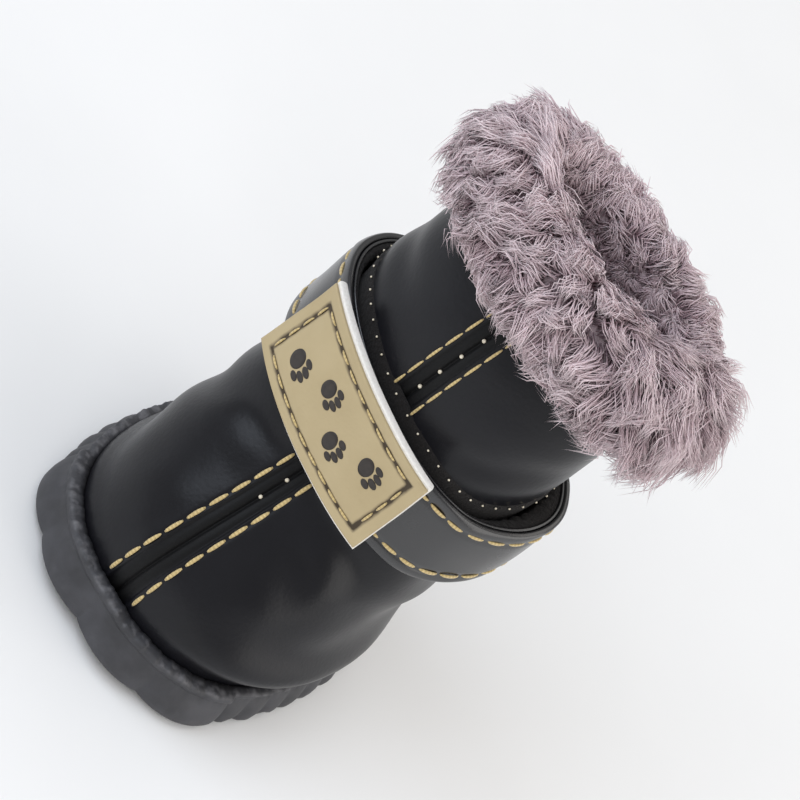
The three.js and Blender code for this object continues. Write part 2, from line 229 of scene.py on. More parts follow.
FOOT_LINE, FLOOR_TOP = 8.5, 4.5
EDGE_SAMPLES, EDGE_OUT = 1441, 2.0  # the line along which the scallops are spaced
LIP_SIDE, LIP_TOE_RISE, LIP_HEEL_RISE = 7.4, 1.6, 0.8
SCALLOPS = [(2, 13.2, 1.25), (7, 4.3, 0.75), (3, None, 0.9)]  # count, pitch and depth: toe, side, heel
SCALLOP_POWER = 0.8  # under one, so that the arches are full
# The side lies further in than toe and heel, behind a short step, and the lip above it less so
DRAWN_IN, LIP_DRAWN, BAND_STEP = 0.9, 0.6, 0.5
TOE_BAND_THICK = 0.3
SOLE_COLUMNS = 480
# The side's profile from the tread up to the lip's shoulder: height, out, share of the scallop
SOLE_SIDE = [(0.0, 1.3, 0.8), (0.12, 1.8, 0.95), (0.45, 2.25, 1.0), (1.1, 2.55, 1.0), (2.2, 2.62, 1.0),
             (3.3, 2.55, 1.0), (4.2, 2.42, 0.85), (4.9, 2.3, 0.6), (5.5, 2.18, 0.4)]
# The lip above it, from the toe band's lower step over the top: below the lip, out, share of the toe band
SOLE_LIP = [(1.5, 2.06, 0.0), (1.25, 2.05, 0.2), (1.1, 2.05, 0.8), (0.85, 2.05, 1.0), (0.4, 1.98, 1.0),
            (0.12, 1.8, 0.9), (0.0, 1.4, 0.5), (0.02, 0.9, 0.1)]
SOLE_INSIDE = [(0.1, 0.06), (1.0, GAP)]  # inside the cup: below the lip, out
LIP_SCALLOP, LIP_WANDER = 0.1, 0.5  # how much of the scallops and of the wear shows in the lip's line
WORN_WAVES = [(0.12, 0.9, 0), (0.1, 2.3, 1), (0.06, 5.1, 0)]  # wear of the lip: height, radians a mm, start
SIDE_RUBBED, LIP_RUBBED = 0.08, 0.35  # how much the scallops are rubbed, and how far down the lip is
TOE_SPRING = [(13.5, 0), (20, 0.25), (26, 1.0), (34, 2.4)]  # way to the toe, height
ARCH = [(4, 0), (5.2, 1.1), (10.3, 1.1), (11.5, 0)]  # way to the heel, height
GROOVE = [(0.8, 1.3), (1.2, 0)]  # way from a groove's middle, height
GROOVE_LINES = (-13.5, -6.5, 18.0)
TREAD_FADES = 3.3  # height at which the side no longer follows the tread
SOLE_CENTRE = np.array([0.0, -0.5, 0.0])
TREAD_RINGS, LAST_RING = 42, 0.02  # rings under the sole, and the share of its size that the smallest has


def scallop(length, total):
    """Arches along the edge: the sine's size to a power, with the pitch and depth of each run in turn."""
    left = total - sum(count * pitch for count, pitch, _ in SCALLOPS if pitch)
    bulge, start = np.zeros_like(length), 0.0
    for count, pitch, depth in SCALLOPS:
        pitch = pitch or left / count
        inside = (length >= start) & (length <= start + count * pitch)
        arch = np.abs(np.sin(np.pi * (length - start) / pitch)) ** SCALLOP_POWER
        bulge = np.where(inside, depth * arch, bulge)
        start += count * pitch
    return bulge


def tread(y):
    """Height of the tread along the boot: toe spring, arch and cross grooves, whichever is highest."""
    spring, arch = np.interp(-y, *zip(*TOE_SPRING)), np.interp(y, *zip(*ARCH))
    grooves = [np.interp(np.abs(y - middle), *zip(*GROOVE)) for middle in GROOVE_LINES]
    return np.max([spring, arch, *grooves], axis=0)


half_turns = np.linspace(0, np.pi, EDGE_SAMPLES)
edge_lengths = lengths_along(level_point(half_turns, FOOT_LINE, EDGE_OUT))
half_edge = edge_lengths[-1]
sole_length = np.linspace(0, 2 * half_edge, SOLE_COLUMNS, endpoint=False)
from_toe = np.minimum(sole_length, 2 * half_edge - sole_length)
sole_turn = np.interp(from_toe, edge_lengths, half_turns)
sole_turn = np.where(sole_length > half_edge, -sole_turn, sole_turn)
bulge = scallop(from_toe, half_edge)
ahead = np.cos(sole_turn)
worn = sum(high * np.sin(sole_length * rate + start) for high, rate, start in WORN_WAVES)
lip = LIP_SIDE + np.where(ahead > 0, LIP_TOE_RISE, LIP_HEEL_RISE) * ahead ** 2 + worn
toe_end, side_end = np.cumsum([count * pitch for count, pitch, _ in SCALLOPS[:2]])
past_toe = smooth(from_toe, toe_end - BAND_STEP, toe_end)
drawn = DRAWN_IN * (past_toe - smooth(from_toe, side_end - BAND_STEP, side_end))
toe_band = TOE_BAND_THICK * (1 - past_toe)
rings, wear = [], []
for height, out, share in SOLE_SIDE:
    ring = level_point(sole_turn, FOOT_LINE, out + share * bulge - drawn)
    ring[:, 2] = height + tread(ring[:, 1]) * max(1 - height / TREAD_FADES, 0)
    rings.append(ring)
    wear.append(SIDE_RUBBED * bulge * share)
for below, out, share in SOLE_LIP:
    lie = out + share * toe_band + LIP_SCALLOP * bulge + LIP_WANDER * worn
    ring = level_point(sole_turn, FOOT_LINE, lie - drawn * max(LIP_DRAWN, min(below, 1)))
    ring[:, 2] = lip - below
    rings.append(ring)
    wear.append(np.full(SOLE_COLUMNS, bell(below, LIP_RUBBED)))
for height, out in [(lip - below, out) for below, out in SOLE_INSIDE] + [(FLOOR_TOP, GAP)]:
    rings.append(upper_point(sole_turn, height, out))
    wear.append(np.zeros(SOLE_COLUMNS))
inwards = np.linspace(1, LAST_RING, TREAD_RINGS)[1:, None, None]
bottom = SOLE_CENTRE + (rings[0] - SOLE_CENTRE) * inwards
bottom[..., 2] = tread(bottom[..., 1])
floor_rings = SOLE_CENTRE + (rings[-1] - SOLE_CENTRE) * np.array([0.5, LAST_RING])[:, None, None]
floor_rings[..., 2] = FLOOR_TOP
sole_grid = np.concatenate([bottom[::-1], np.array(rings), floor_rings])
sole_wear = np.concatenate([np.zeros(bottom.shape[:2]), np.array(wear), np.zeros(floor_rings.shape[:2])])
outsole = ring_object("outsole_cup", sole_grid, False, "sole_rubber", {"wear": sole_wear})
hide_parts("outsole")

# Black rubber from a sandblasted mould: dull and finely pitted, with dusty patches of a few millimetres, and
# scuffed greyer where the lip and the scallops rub
rubber = new_material("moulded_black_rubber")
place = add(rubber, "TexCoord").outputs["Object"]
worn_edge = add(rubber, "Attribute", attribute_name="wear").outputs["Fac"]
dust = add(rubber, "TexNoise", {"Vector": place, "Scale": pattern_scale(4.55), "Detail": 5.0})
grit = add(rubber, "TexNoise", {"Vector": place, "Scale": pattern_scale(0.385), "Detail": 2.0})
patches = add(rubber, "MapRange", {"Value": dust, "From Min": 0.35, "From Max": 0.7})
streak = add(rubber, "TexNoise", {"Vector": place, "Scale": pattern_scale(1.54), "Detail": 4.0})
scuffs = add(rubber, "MapRange", {"Value": streak, "From Min": 0.45, "From Max": 0.75})
rubbed = add(rubber, "Math", {0: worn_edge, 1: scuffs}, operation="MULTIPLY")
dusty = add(rubber, "Mix", {"Factor": patches, "A": "#323235", "B": "#424246"}, data_type="RGBA")
tone = add(rubber, "Mix", {"Factor": rubbed, "A": dusty, "B": "#717073"}, data_type="RGBA")
dull = add(rubber, "MapRange", {"Value": dust, "To Min": 0.5, "To Max": 0.68})
pitted = add(rubber, "Bump", {"Height": grit, "Strength": 0.25, "Distance": 0.1 * MM})
uneven = add(rubber, "Bump", {"Height": dust, "Strength": 0.35, "Distance": 0.4 * MM, "Normal": pitted})
skin = add(rubber, "BsdfPrincipled", {"Base Color": tone, "Roughness": dull, "IOR": 1.52, "Normal": uneven})
add(rubber, "OutputMaterial", {"Surface": skin})
outsole.data.materials.append(rubber)

# Insole
# A padded board faced with short fleece. It is cut to the inside of the upper, rounded over at its top edge,
# and dropped in on the sole's floor.

LEATHER = 1.8  # thickness of the upper, inside which the board lies
INSOLE_BOTTOM, INSOLE_TOP, INSOLE_INSET = FLOOR_TOP + GAP, 7.3, 0.5
# Its edge from the underside to the top face: height, inset
INSOLE_EDGE = [(INSOLE_BOTTOM, 0.0), (INSOLE_TOP - 0.9, 0.0), (INSOLE_TOP - 0.4, 0.15),
               (INSOLE_TOP - 0.1, 0.5)]
INSOLE_COLUMNS, INSOLE_RINGS, FIRST_RING = 160, 30, 0.97
NAP_HEIGHT, NAP_WAVES = 0.12, ((2.1, 0, 0), (1.9, 1.5, 1))


def tufted(u, v, waves):
    """Tufts from minus one to one over two directions: waves along one times waves along the other.

    Waves gives, for each of the two, its rate, and how far and at what rate it sways along the other.
    """
    (rate_u, sway_u, by_v), (rate_v, sway_v, by_u) = waves
    return np.sin(rate_u * u + sway_u * np.sin(by_v * v)) * np.sin(rate_v * v + sway_v * np.sin(by_u * u))


def mottled(name, size, noise, dark, pale, surface, bump=None, contrast=None):
    """A material whose tone runs between two colours with noise of a size in millimetres.

    Noise and surface hold more inputs of those two nodes. Bump is the strength and height of its relief in
    millimetres, and contrast the part of its range over which the tone changes.
    """
    made = new_material(name)
    place = add(made, "TexCoord").outputs["Object"]
    pattern = add(made, "TexNoise", {"Vector": place, "Scale": pattern_scale(size), **noise})
    blend = pattern
    if contrast:
        blend = add(made, "MapRange", {"Value": pattern, "From Min": contrast[0], "From Max": contrast[1]})
    tone = add(made, "Mix", {"Factor": blend, "A": dark, "B": pale}, data_type="RGBA")
    inputs = {"Base Color": tone, **surface}
    if bump:
        strength, high = bump
        inputs["Normal"] = add(made, "Bump", {"Height": pattern, "Strength": strength, "Distance": high * MM})
    add(made, "OutputMaterial", {"Surface": add(made, "BsdfPrincipled", inputs)})
    return made


board_turn = around(INSOLE_COLUMNS)
side_rings = [level_point(board_turn, height, -LEATHER - INSOLE_INSET - inset)
              for height, inset in INSOLE_EDGE]
inwards = np.linspace(FIRST_RING, LAST_RING, INSOLE_RINGS)[:, None, None]
top_rings = SOLE_CENTRE + (side_rings[-1] - SOLE_CENTRE) * inwards
top_rings[..., 2] = INSOLE_TOP + NAP_HEIGHT * tufted(top_rings[..., 0], top_rings[..., 1], NAP_WAVES)
board = np.concatenate([np.array(side_rings), top_rings])
insole = ring_object("insole_board", board, False, "insole_fabric")
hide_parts("insole")

# Short-pile polyester fleece, mauve-grey: matt, with curls of about 2 mm and a soft sheen at its edges
fleece = mottled("short_pile_fleece", 2.08, {"Detail": 6.0, "Roughness": 0.7, "Distortion": 1.2},
                 "#54484e", "#a5969b", {"Roughness": 0.95, "Sheen Weight": 0.35, "Sheen Roughness": 0.5},
                 bump=(0.9, 1.2), contrast=(0.3, 0.7))
insole.data.materials.append(fleece)

# Upper
# Two halves of smooth black coated leather over a fleece backing, closed in front by a sunk strip with a butt
# seam and at the back by a plain one. It is soft: it folds under the strap, and its foot is pushed in on the
# left and has a ridge low on the right.

UPPER_BOTTOM, UPPER_TOP = 4.8, 80.0
FRONT_SIDES = np.linspace(-4.2, 4.2, 67)  # columns at fixed distances from the front seam
BACK_SIDES = np.linspace(1.6, -1.6, 21)
SIDE_COLUMNS = 95
OUTER_ROWS, INNER_ROWS = 112, 14
GIRTH = 20.0  # millimetres of arc for each radian of turn
FAR = 99.0  # a distance from the front seam at which nothing of it is felt
STRIP_DEPTH, STRIP_INSET, STRIP_STEP = 0.5, 0.5, 0.45  # the strip's edge lies inside the thread, and slopes
STRIP_HALF = 2.1
BUTT_HALF, BUTT_DEPTH = 0.28, 0.45
PUFF_HEIGHT, PUFF_SIDE, PUFF_HALF = 0.12, 1.1, 0.55  # the strip swells on either side of the butt seam
PULL_DEPTH, PULL_HALF = 0.14, 0.4  # the thread pulls the leather in
STIFF_HALF, STIFF_SHARE = 4.0, 0.7  # the seam keeps this share of the folds away from it
BACK_DEPTH, BACK_HALF = 0.35, 0.35  # the back seam
THREAD_LINE = [(10, 3.05), (36, 2.45)]  # height, and the thread's distance from the front seam
FOLDS_FADE, SAG_FADE = (8, 14), (8, 12)  # heights over which they come out of the sole
SAG, SAG_LEVEL, SAG_SPREAD = 2.5, 16.0, 9.5
# Slack in the leather: height, then the rates round and up the boot and the start of a slanting wave, and the
# rate and start of the wave up the boot that it is multiplied by
SLACK_WAVES = [(0.16, 3, 0.11, 0.0, 0.21, 1.0), (0.09, 7, -0.17, 2.0, 0.33, 0.0)]
# Folds, one by one: turn in degrees, height, slope in degrees, half length, half width, depth
FOLDS = [
    (52, 32.5, -32, 10, 2.4, 0.55), (80, 25.0, -20, 13, 3.4, 0.7), (34, 28.0, -40, 8, 2.6, 0.3),
    (-48, 32.0, 30, 9, 2.3, 0.5), (-78, 26.0, 18, 12, 3.2, 0.6), (-30, 24.0, 42, 8, 2.8, 0.28),
    (20, 35.5, -12, 6, 1.6, 0.3), (-18, 35.0, 14, 6, 1.7, 0.28), (64, 61.0, 12, 9, 2.8, 0.4),
    (-60, 63.5, -10, 9, 2.6, 0.38), (38, 57.0, 20, 6, 1.8, 0.25), (110, 37.0, -14, 11, 2.4, 0.6),
    (-115, 36.0, 12, 11, 2.4, 0.6), (150, 31.0, -18, 12, 2.8, 0.7), (-152, 29.0, 16, 12, 2.8, 0.65),
    (176, 36.5, 4, 10, 2.0, 0.7), (140, 60.0, 8, 10, 3.0, 0.5), (-140, 58.0, -10, 10, 3.0, 0.5),
    (76, 12.0, -3, 14, 4.6, -2.2),
]


def wrapped(angle):
    """An angle brought to between minus and plus half a turn."""
    return (angle + np.pi) % (2 * np.pi) - np.pi


def turn_at_side(x, height):
    """The turn in front at which the last's outline lies at x."""
    power = section(TOE_SQUARE, height) / 2
    return np.arcsin(np.sign(x) * np.abs(x / section(HALF, height)) ** power)


def upper_turns(height):
    """Columns for heights in a column vector: fixed distances from both seams, even turns between them."""
    back_power = section(HEEL_SQUARE, height) / 2
    front = turn_at_side(FRONT_SIDES[None, :], height)
    back = np.pi - np.arcsin(np.sign(BACK_SIDES) * np.abs(BACK_SIDES / section(HALF, height)) ** back_power)
    share = np.linspace(0, 1, SIDE_COLUMNS + 2)[1:-1]
    right = front[:, -1:] + (back[:, :1] - front[:, -1:]) * share
    left = back[:, -1:] + (front[:, :1] + 2 * np.pi - back[:, -1:]) * share
    return np.concatenate([front, right, back, left], 1)


def folds(turn, height):
    """Soft troughs with a ridge on either side: a hat-shaped wave across each fold, faded along it."""
    rise = np.zeros(np.broadcast(turn, height).shape)
    for middle, level, slope, length, width, depth in FOLDS:
        run, climb = wrapped(turn - np.radians(middle)) * GIRTH, height - level
        slope = np.radians(slope)
        along = run * np.cos(slope) + climb * np.sin(slope)
        across = (climb * np.cos(slope) - run * np.sin(slope)) / width
        rise -= depth * (1 - across ** 2) * np.exp(-across ** 2 / 2 - (along / length) ** 2)
    return rise


def slack(turn, height):
    """Slow waves of soft leather: slanting waves round the boot, each multiplied by one that goes up it."""
    return sum(high * np.sin(rounds * turn + slant * height + start) * np.sin(up * height + up_start)
               for high, rounds, slant, start, up, up_start in SLACK_WAVES)


def sag(turn, height):
    """How far the wall is pushed in on the left, fading into the sole and up the instep."""
    fade = bell(height - SAG_LEVEL, SAG_SPREAD) * smooth(height, *SAG_FADE)
    return SAG * np.minimum(np.sin(turn), 0) * fade


def stitch_line(height):
    """Distance of the thread from the front seam: wider over the toe than at the ankle."""
    return np.interp(height, *zip(*THREAD_LINE))


def leather_out(turn, height, side):
    """Relief of the upper: folds and slack, fading into the sole, with the strip and butt seam pressed in."""
    relief = (folds(turn, height) + slack(turn, height)) * smooth(height, *FOLDS_FADE) + sag(turn, height)
    stiff = STIFF_SHARE * np.exp(-(side / STIFF_HALF) ** 4)
    sewn = stitch_line(height)
    strip_edge = sewn - STRIP_INSET
    strip = STRIP_DEPTH * (1 - smooth(np.abs(side), strip_edge - STRIP_STEP, strip_edge))
    butt = BUTT_DEPTH * bell(side, BUTT_HALF)
    puff = PUFF_HEIGHT * bell(np.abs(side) - PUFF_SIDE, PUFF_HALF)
    pulled = PULL_DEPTH * bell(np.abs(side) - sewn, PULL_HALF)
    return relief * (1 - stiff) - strip - butt + puff - pulled


outer_height = np.linspace(UPPER_BOTTOM, UPPER_TOP, OUTER_ROWS)[:, None]
turns = upper_turns(outer_height)
columns = turns.shape[1]
front_side = np.full(columns, FAR)
front_side[:len(FRONT_SIDES)] = FRONT_SIDES
back_start = len(FRONT_SIDES) + SIDE_COLUMNS
back_seam = np.zeros(columns)
back_seam[back_start:back_start + len(BACK_SIDES)] = BACK_DEPTH * bell(BACK_SIDES, BACK_HALF)
outer = upper_point(turns, outer_height, leather_out(turns, outer_height, front_side) - back_seam)
inner_height = np.linspace(UPPER_TOP, UPPER_BOTTOM, INNER_ROWS)[:, None]
inner_turns = upper_turns(inner_height)
inner = upper_point(inner_turns, inner_height, sag(inner_turns, inner_height) - LEATHER)
# Mask of the sunk strip: a rougher finish there, and painted shade
strip_rough_and_shade = np.zeros((OUTER_ROWS + INNER_ROWS, columns))
strip_rough_and_shade[:OUTER_ROWS] = np.exp(-(front_side / STRIP_HALF) ** 6)
shell = np.concatenate([outer, inner])
upper = ring_object("upper_leather_shell", shell, True, "upper_leather", {"strip": strip_rough_and_shade})
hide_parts("upper")

# Coated leather, finished smooth: near black with a satin gloss, a fine pebble of about 0.6 mm and faint
# cloudy wear. The sunk strip is rougher, and painted blacker as the shade in its channel.
leather = new_material("coated_smooth_leather")
place = add(leather, "TexCoord").outputs["Object"]
strip = add(leather, "Attribute", attribute_name="strip").outputs["Fac"]
pebble = add(leather, "TexVoronoi", {"Vector": place, "Scale": pattern_scale(0.625)}, feature="SMOOTH_F1")
grain = add(leather, "TexNoise", {"Vector": place, "Scale": pattern_scale(0.3125), "Detail": 3.0})
cloud = add(leather, "TexNoise", {"Vector": place, "Scale": pattern_scale(11.1), "Detail": 4.0})
gloss = add(leather, "MapRange", {
    "Value": cloud, "From Min": 0.3, "From Max": 0.7, "To Min": 0.29, "To Max": 0.38})
dull = add(leather, "Math", {0: strip, 1: 0.25, 2: gloss}, operation="MULTIPLY_ADD")
clouded = add(leather, "Mix", {"Factor": cloud, "A": "#0d0d10", "B": "#16161b"}, data_type="RGBA")
# Painted shade: the sunk strip is darker, as in the shadow of its channel
tone = add(leather, "Mix", {"Factor": strip, "A": clouded, "B": "#070708"}, data_type="RGBA")
fine = add(leather, "Bump", {"Height": grain, "Strength": 0.12, "Distance": 0.1 * MM})
pebbled = add(leather, "Bump", {"Height": pebble, "Strength": 0.12, "Distance": 0.15 * MM, "Normal": fine})
skin = add(leather, "BsdfPrincipled", {
    "Base Color": tone, "Roughness": dull, "IOR": 1.5, "Specular IOR Level": 0.3, "Normal": pebbled})
add(leather, "OutputMaterial", {"Surface": skin})
upper.data.materials.append(leather)

# Lining
# A sleeve of short fleece, bonded to the inside of the upper from the insole to the collar. It follows the
# push in the leather, and its pile stands up in small tufts.

LINING_FROM, LINING_TO, LINING_ROWS, LINING_COLUMNS = 8.2, 70.5, 36, 110
LINING_DEPTH, LINING_CURL, BOND = 1.1, 0.28, 0.05
LINING_WAVES = (15, 3, 0.8), (0.9, 2, 6)
sleeve_turn = around(LINING_COLUMNS)[None, :]
sleeve_level = np.linspace(LINING_FROM, LINING_TO, LINING_ROWS)[:, None]
tufts = tufted(sleeve_turn, sleeve_level, LINING_WAVES)
bond_out = sag(sleeve_turn, sleeve_level) - LEATHER - BOND
bond_grid = upper_point(sleeve_turn, sleeve_level, bond_out)
face_grid = upper_point(sleeve_turn, sleeve_level, bond_out - LINING_DEPTH + LINING_CURL * tufts)
sleeve = np.concatenate([bond_grid, face_grid[::-1]])
lining = ring_object("lining_fleece_sleeve", sleeve, True, "lining_fleece")
lining.data.materials.append(fleece)

# Front seam thread
# Two rows of thick gold thread hold the strip, one on each side, thinner above the strap than below it, and
# small knots, painted pale as glints of light, show along its middle.

THREAD_SIDES, THREAD_ROWS = 8, 9
STITCH_PITCH = 3.6
THICK_THREAD, FINE_THREAD = (0.6, 0.3, 0.2), (0.45, 0.21, 0.15)  # gap between stitches, half width and height
SEAM_RUNS = [(9.9, 40.5, THICK_THREAD), (53.0, 76.0, FINE_THREAD)]  # from and to height, thread
SEAM_SAMPLES, SEAM_OUT, SEAM_SINK = 240, -0.1, 0.06
HOLE_WIDE, HOLE_HIGH = 0.45, 0.5  # share of a stitch's size that is left where it goes into its hole


def tube_object(name, rings, slot, tips=None, attributes=None):
    """An object of short tubes from their rings: roots closed flat, ends closed flat or drawn to tips."""
    count, rows, sides = rings.shape[:3]
    size = rows * sides + (0 if tips is None else 1)
    start = np.arange(count)[:, None, None] * size
    i, j = np.arange(rows - 1)[None, :, None] * sides, np.arange(sides)[None, None, :]
    k = (j + 1) % sides
    low, high = start + i, start + i + sides
    quads = np.stack(np.broadcast_arrays(low + j, low + k, high + k, high + j), -1).reshape(-1, 4)
    first, last = start[:, 0], start[:, 0] + (rows - 1) * sides
    points, ends = rings.reshape(count, -1, 3), last + j[0]
    if tips is not None:
        points = np.concatenate([points, tips[:, None]], 1)
        tip = np.broadcast_to(first + size - 1, (count, sides))
        ends = np.stack([last + j[0], last + k[0], tip], -1).reshape(-1, 3)
    return mesh_object(name, points.reshape(-1, 3), quads, first + j[0, :, ::-1], ends, slot=slot,
                       attributes=attributes)


def stitch_row(path, above, pitch, thread, sink):
    """Stitches along a path, with the places above it: flattened tubes that arch from hole to hole.

    Gives their rings, and the length along the thread at each point.
    """
    gap, wide, high = thread
    steps = lengths_along(path)
    normal = unit(above - path)
    count = int(steps[-1] // pitch)
    start = (steps[-1] - count * pitch + gap) / 2 + pitch * np.arange(count)
    share = np.linspace(0, 1, THREAD_ROWS)
    length = start[:, None] + (pitch - gap) * share
    centre = np.stack([np.interp(length, steps, path[:, axis]) for axis in range(3)], -1)
    up = unit(np.stack([np.interp(length, steps, normal[:, axis]) for axis in range(3)], -1))
    axis = unit(np.gradient(centre, axis=1))
    across = unit(np.cross(up, axis))
    arch = np.sin(np.pi * share) ** 0.5
    centre = centre + up * (high * arch - sink)[None, :, None]
    angle = around(THREAD_SIDES)
    width = wide * (HOLE_WIDE + (1 - HOLE_WIDE) * arch)[None, :, None, None]
    thick = high * (HOLE_HIGH + (1 - HOLE_HIGH) * arch)[None, :, None, None]
    ring = (np.cos(angle)[:, None] * across[:, :, None, :] * width
            + np.sin(angle)[:, None] * up[:, :, None, :] * thick)
    return centre[:, :, None, :] + ring, np.broadcast_to(length[:, :, None], ring.shape[:3])


def sew(name, rows):
    """One object from rows of stitches, with the length along the thread kept for its twist."""
    rings, runs = zip(*rows)
    return tube_object(name, np.concatenate(rings), "gold_thread", attributes={"run": np.concatenate(runs)})


seam_rows = []
for low, high, kind in SEAM_RUNS:
    for side in (-1, 1):
        level = np.linspace(low, high, SEAM_SAMPLES)
        turn = turn_at_side(side * stitch_line(level), level)
        line, above = upper_point(turn, level, SEAM_OUT), upper_point(turn, level, 1)
        seam_rows.append(stitch_row(line, above, STITCH_PITCH, kind, SEAM_SINK))
seam_thread = sew("front_seam_thread", seam_rows)

# Waxed polyester thread, old gold: a satin twist, with painted shade in the grooves of its twist
TWIST = 11.0  # radians for each millimetre of thread
thread = new_material("twisted_gold_thread")
place = add(thread, "TexCoord").outputs["Object"]
run = add(thread, "Attribute", attribute_name="run").outputs["Fac"]
speck = add(thread, "TexNoise", {"Vector": place, "Scale": pattern_scale(1.11), "Detail": 3.0})
# Painted shade: a sine along the thread darkens the grooves of its twist
turned = add(thread, "Math", {0: run, 1: TWIST}, operation="MULTIPLY")
ply = add(thread, "Math", {0: turned}, operation="SINE")
groove_shade = add(thread, "MapRange", {"Value": ply, "From Min": -1.0, "From Max": 1.0})
mixed = add(thread, "Math", {0: groove_shade, 1: speck}, operation="MULTIPLY")
shade = add(thread, "MapRange", {"Value": mixed, "From Max": 0.6, "To Min": 0.5})
tone = add(thread, "Mix", {"Factor": shade, "A": "#8d7747", "B": "#d3bb82"}, data_type="RGBA")
plies = add(thread, "Bump", {"Height": ply, "Strength": 0.2, "Distance": 0.1 * MM})
strand = add(thread, "BsdfPrincipled", {
    "Base Color": tone, "Roughness": 0.5, "Sheen Weight": 0.25, "Normal": plies})
add(thread, "OutputMaterial", {"Surface": strand})
seam_thread.data.materials.append(thread)

KNOT_HEIGHTS = np.array([31.6, 34.8, 57.6, 61.6, 65.6, 69.6])
KNOT_RADIUS, KNOT_SUNK = 0.32, 0.25
KNOT_RINGS = np.radians([-20, 10, 35, 60, 80])  # angles of a half ball's rings above its middle
UPRIGHT = 0.9  # how far up a normal may point before the level is taken in place of the vertical


def knots(name, feet, above, radius):
    """Thread ends, each facing the place above it: half balls of rings that shrink to a flat top."""
    normals = unit(above - feet)
    helper = np.where(np.abs(normals[:, 2:]) > UPRIGHT, [[1.0, 0, 0]], [[0, 0, 1.0]])
    across = unit(np.cross(helper, normals))
    side = np.cross(normals, across)
    angle = around(THREAD_SIDES)
    ring = np.cos(angle)[:, None] * across[:, None, :] + np.sin(angle)[:, None] * side[:, None, :]
    ball = (np.cos(KNOT_RINGS)[:, None, None] * ring[:, None]
            + np.sin(KNOT_RINGS)[:, None, None] * normals[:, None, None, :])
    return tube_object(name, feet[:, None, None, :] + radius * ball, "gold_thread")


feet, above = upper_point(0.0, KNOT_HEIGHTS, -STRIP_DEPTH - KNOT_SUNK), upper_point(0.0, KNOT_HEIGHTS, 1)
seam_knots = knots("front_seam_knots", feet, above, KNOT_RADIUS)

# Thread ends painted pale cream, as glints of light on the stitch holes: dry and slightly fuzzy
pale_glint_thread = mottled("thread_ends_painted_glint", 0.4, {"Detail": 2.0}, "#c9bb9c", "#f6efe0", {"Roughness": 0.6})
seam_knots.data.materials.append(pale_glint_thread)

# Loop panel
# A band of dark loop pile sewn round the ankle, on which the strap's hooks close. Its upper edge and a row of
# small stitch ends, painted pale as glints of light, show above the strap.

STRAP_WIDTH, STRAP_THICK, STRAP_LEVEL = 13.6, 2.0, 46.3
STRAP_SLANT, STRAP_LAP = np.tan(np.radians(8)), np.radians(20)
SLACK_LEFT, SLACK_RIGHT, SLACK_MIDDLE, SLACK_SPREAD = 1.2, 2.6, np.radians(95), np.radians(32)
RISE_BY, RISE_FROM, RISE_FULL, RISE_FADES, RISE_GONE = 4.0, *np.radians([50, 110, 120, 165])
CLIMB_FROM, CLIMB_TO = np.radians(125), np.radians(155)
STRAP_HALF = STRAP_WIDTH / 2
THIN_EDGE = 0.2  # share of a plate's thickness that is left at its edge
PANEL_FROM, PANEL_ABOVE = 0.5, 1.9  # above the strap's lower edge, and above its upper edge
PANEL_THICK, PANEL_ROUND, PANEL_UP = 0.2, 145, 17
# It swells by a share of its thickness between two rises from the strap's edge, goes in at its own edge, and
# starts inside the leather
PANEL_SWELL, SWELL_FROM, SWELL_TO = 0.8, -0.5, 1.5
PANEL_EDGE, PANEL_TUCK, PANEL_SUNK = 1.2, 0.1, 0.35


def strap_lap(turn):
    """How far out the strap climbs over its own end."""
    return smooth(turn, CLIMB_FROM, CLIMB_TO) * (STRAP_THICK + GAP)


def strap_out(turn):
    """How far the strap's inner face stands off: slack at the sides, and over itself at its end."""
    left = SLACK_LEFT * np.minimum(np.sin(turn), 0) ** 2
    right = SLACK_RIGHT * bell(turn - SLACK_MIDDLE, SLACK_SPREAD)
    return GAP + left + right + strap_lap(turn)


def strap_height(turn):
    """The strap's middle line: slanted across the boot, and rising where its slack side goes to the back."""
    across = section(HALF, STRAP_LEVEL) * np.sin(turn)
    rise = smooth(turn, RISE_FROM, RISE_FULL) - smooth(turn, RISE_FADES, RISE_GONE)
    return STRAP_LEVEL - across * STRAP_SLANT + RISE_BY * rise


def plate(name, turn, rise, low, high, slot, attributes=None):
    """A closed plate on the boot: grids of turn and rise from the strap's line, with low and high out."""
    height = strap_height(turn) + rise
    columns = rise.shape[1]
    points = np.concatenate([upper_point(turn, height, high).reshape(-1, 3),
                             upper_point(turn, height, low).reshape(-1, 3)])
    index = np.arange(turn.size).reshape(turn.shape)
    top = np.stack([index[:-1, :-1], index[1:, :-1], index[1:, 1:], index[:-1, 1:]], -1).reshape(-1, 4)
    rim = np.r_[index[:, 0], index[-1, 1:], index[-2::-1, -1], index[0, columns - 2:0:-1]]
    ahead = np.roll(rim, -1)
    under = turn.size
    sides = np.stack([rim + under, ahead + under, ahead, rim], -1)
    return mesh_object(name, points, top, top[:, ::-1] + under, sides, slot=slot, attributes=attributes)


def edge_spaced(half, edge, middle_count, edge_count=6):
    """Values from minus half to half, crowded near both ends where the edge rounds over."""
    near = half - edge + edge * np.sin(np.linspace(0, np.pi / 2, edge_count))
    return np.r_[-near[::-1], np.linspace(-near[0], near[0], middle_count)[1:-1], near]


def rounded(distance, edge):
    """Share of the full thickness at a distance from the edge: a quarter ellipse, up from a thin edge."""
    t = np.clip(distance / edge, 0, 1)
    return THIN_EDGE + (1 - THIN_EDGE) * np.sqrt(1 - (1 - t) ** 2)


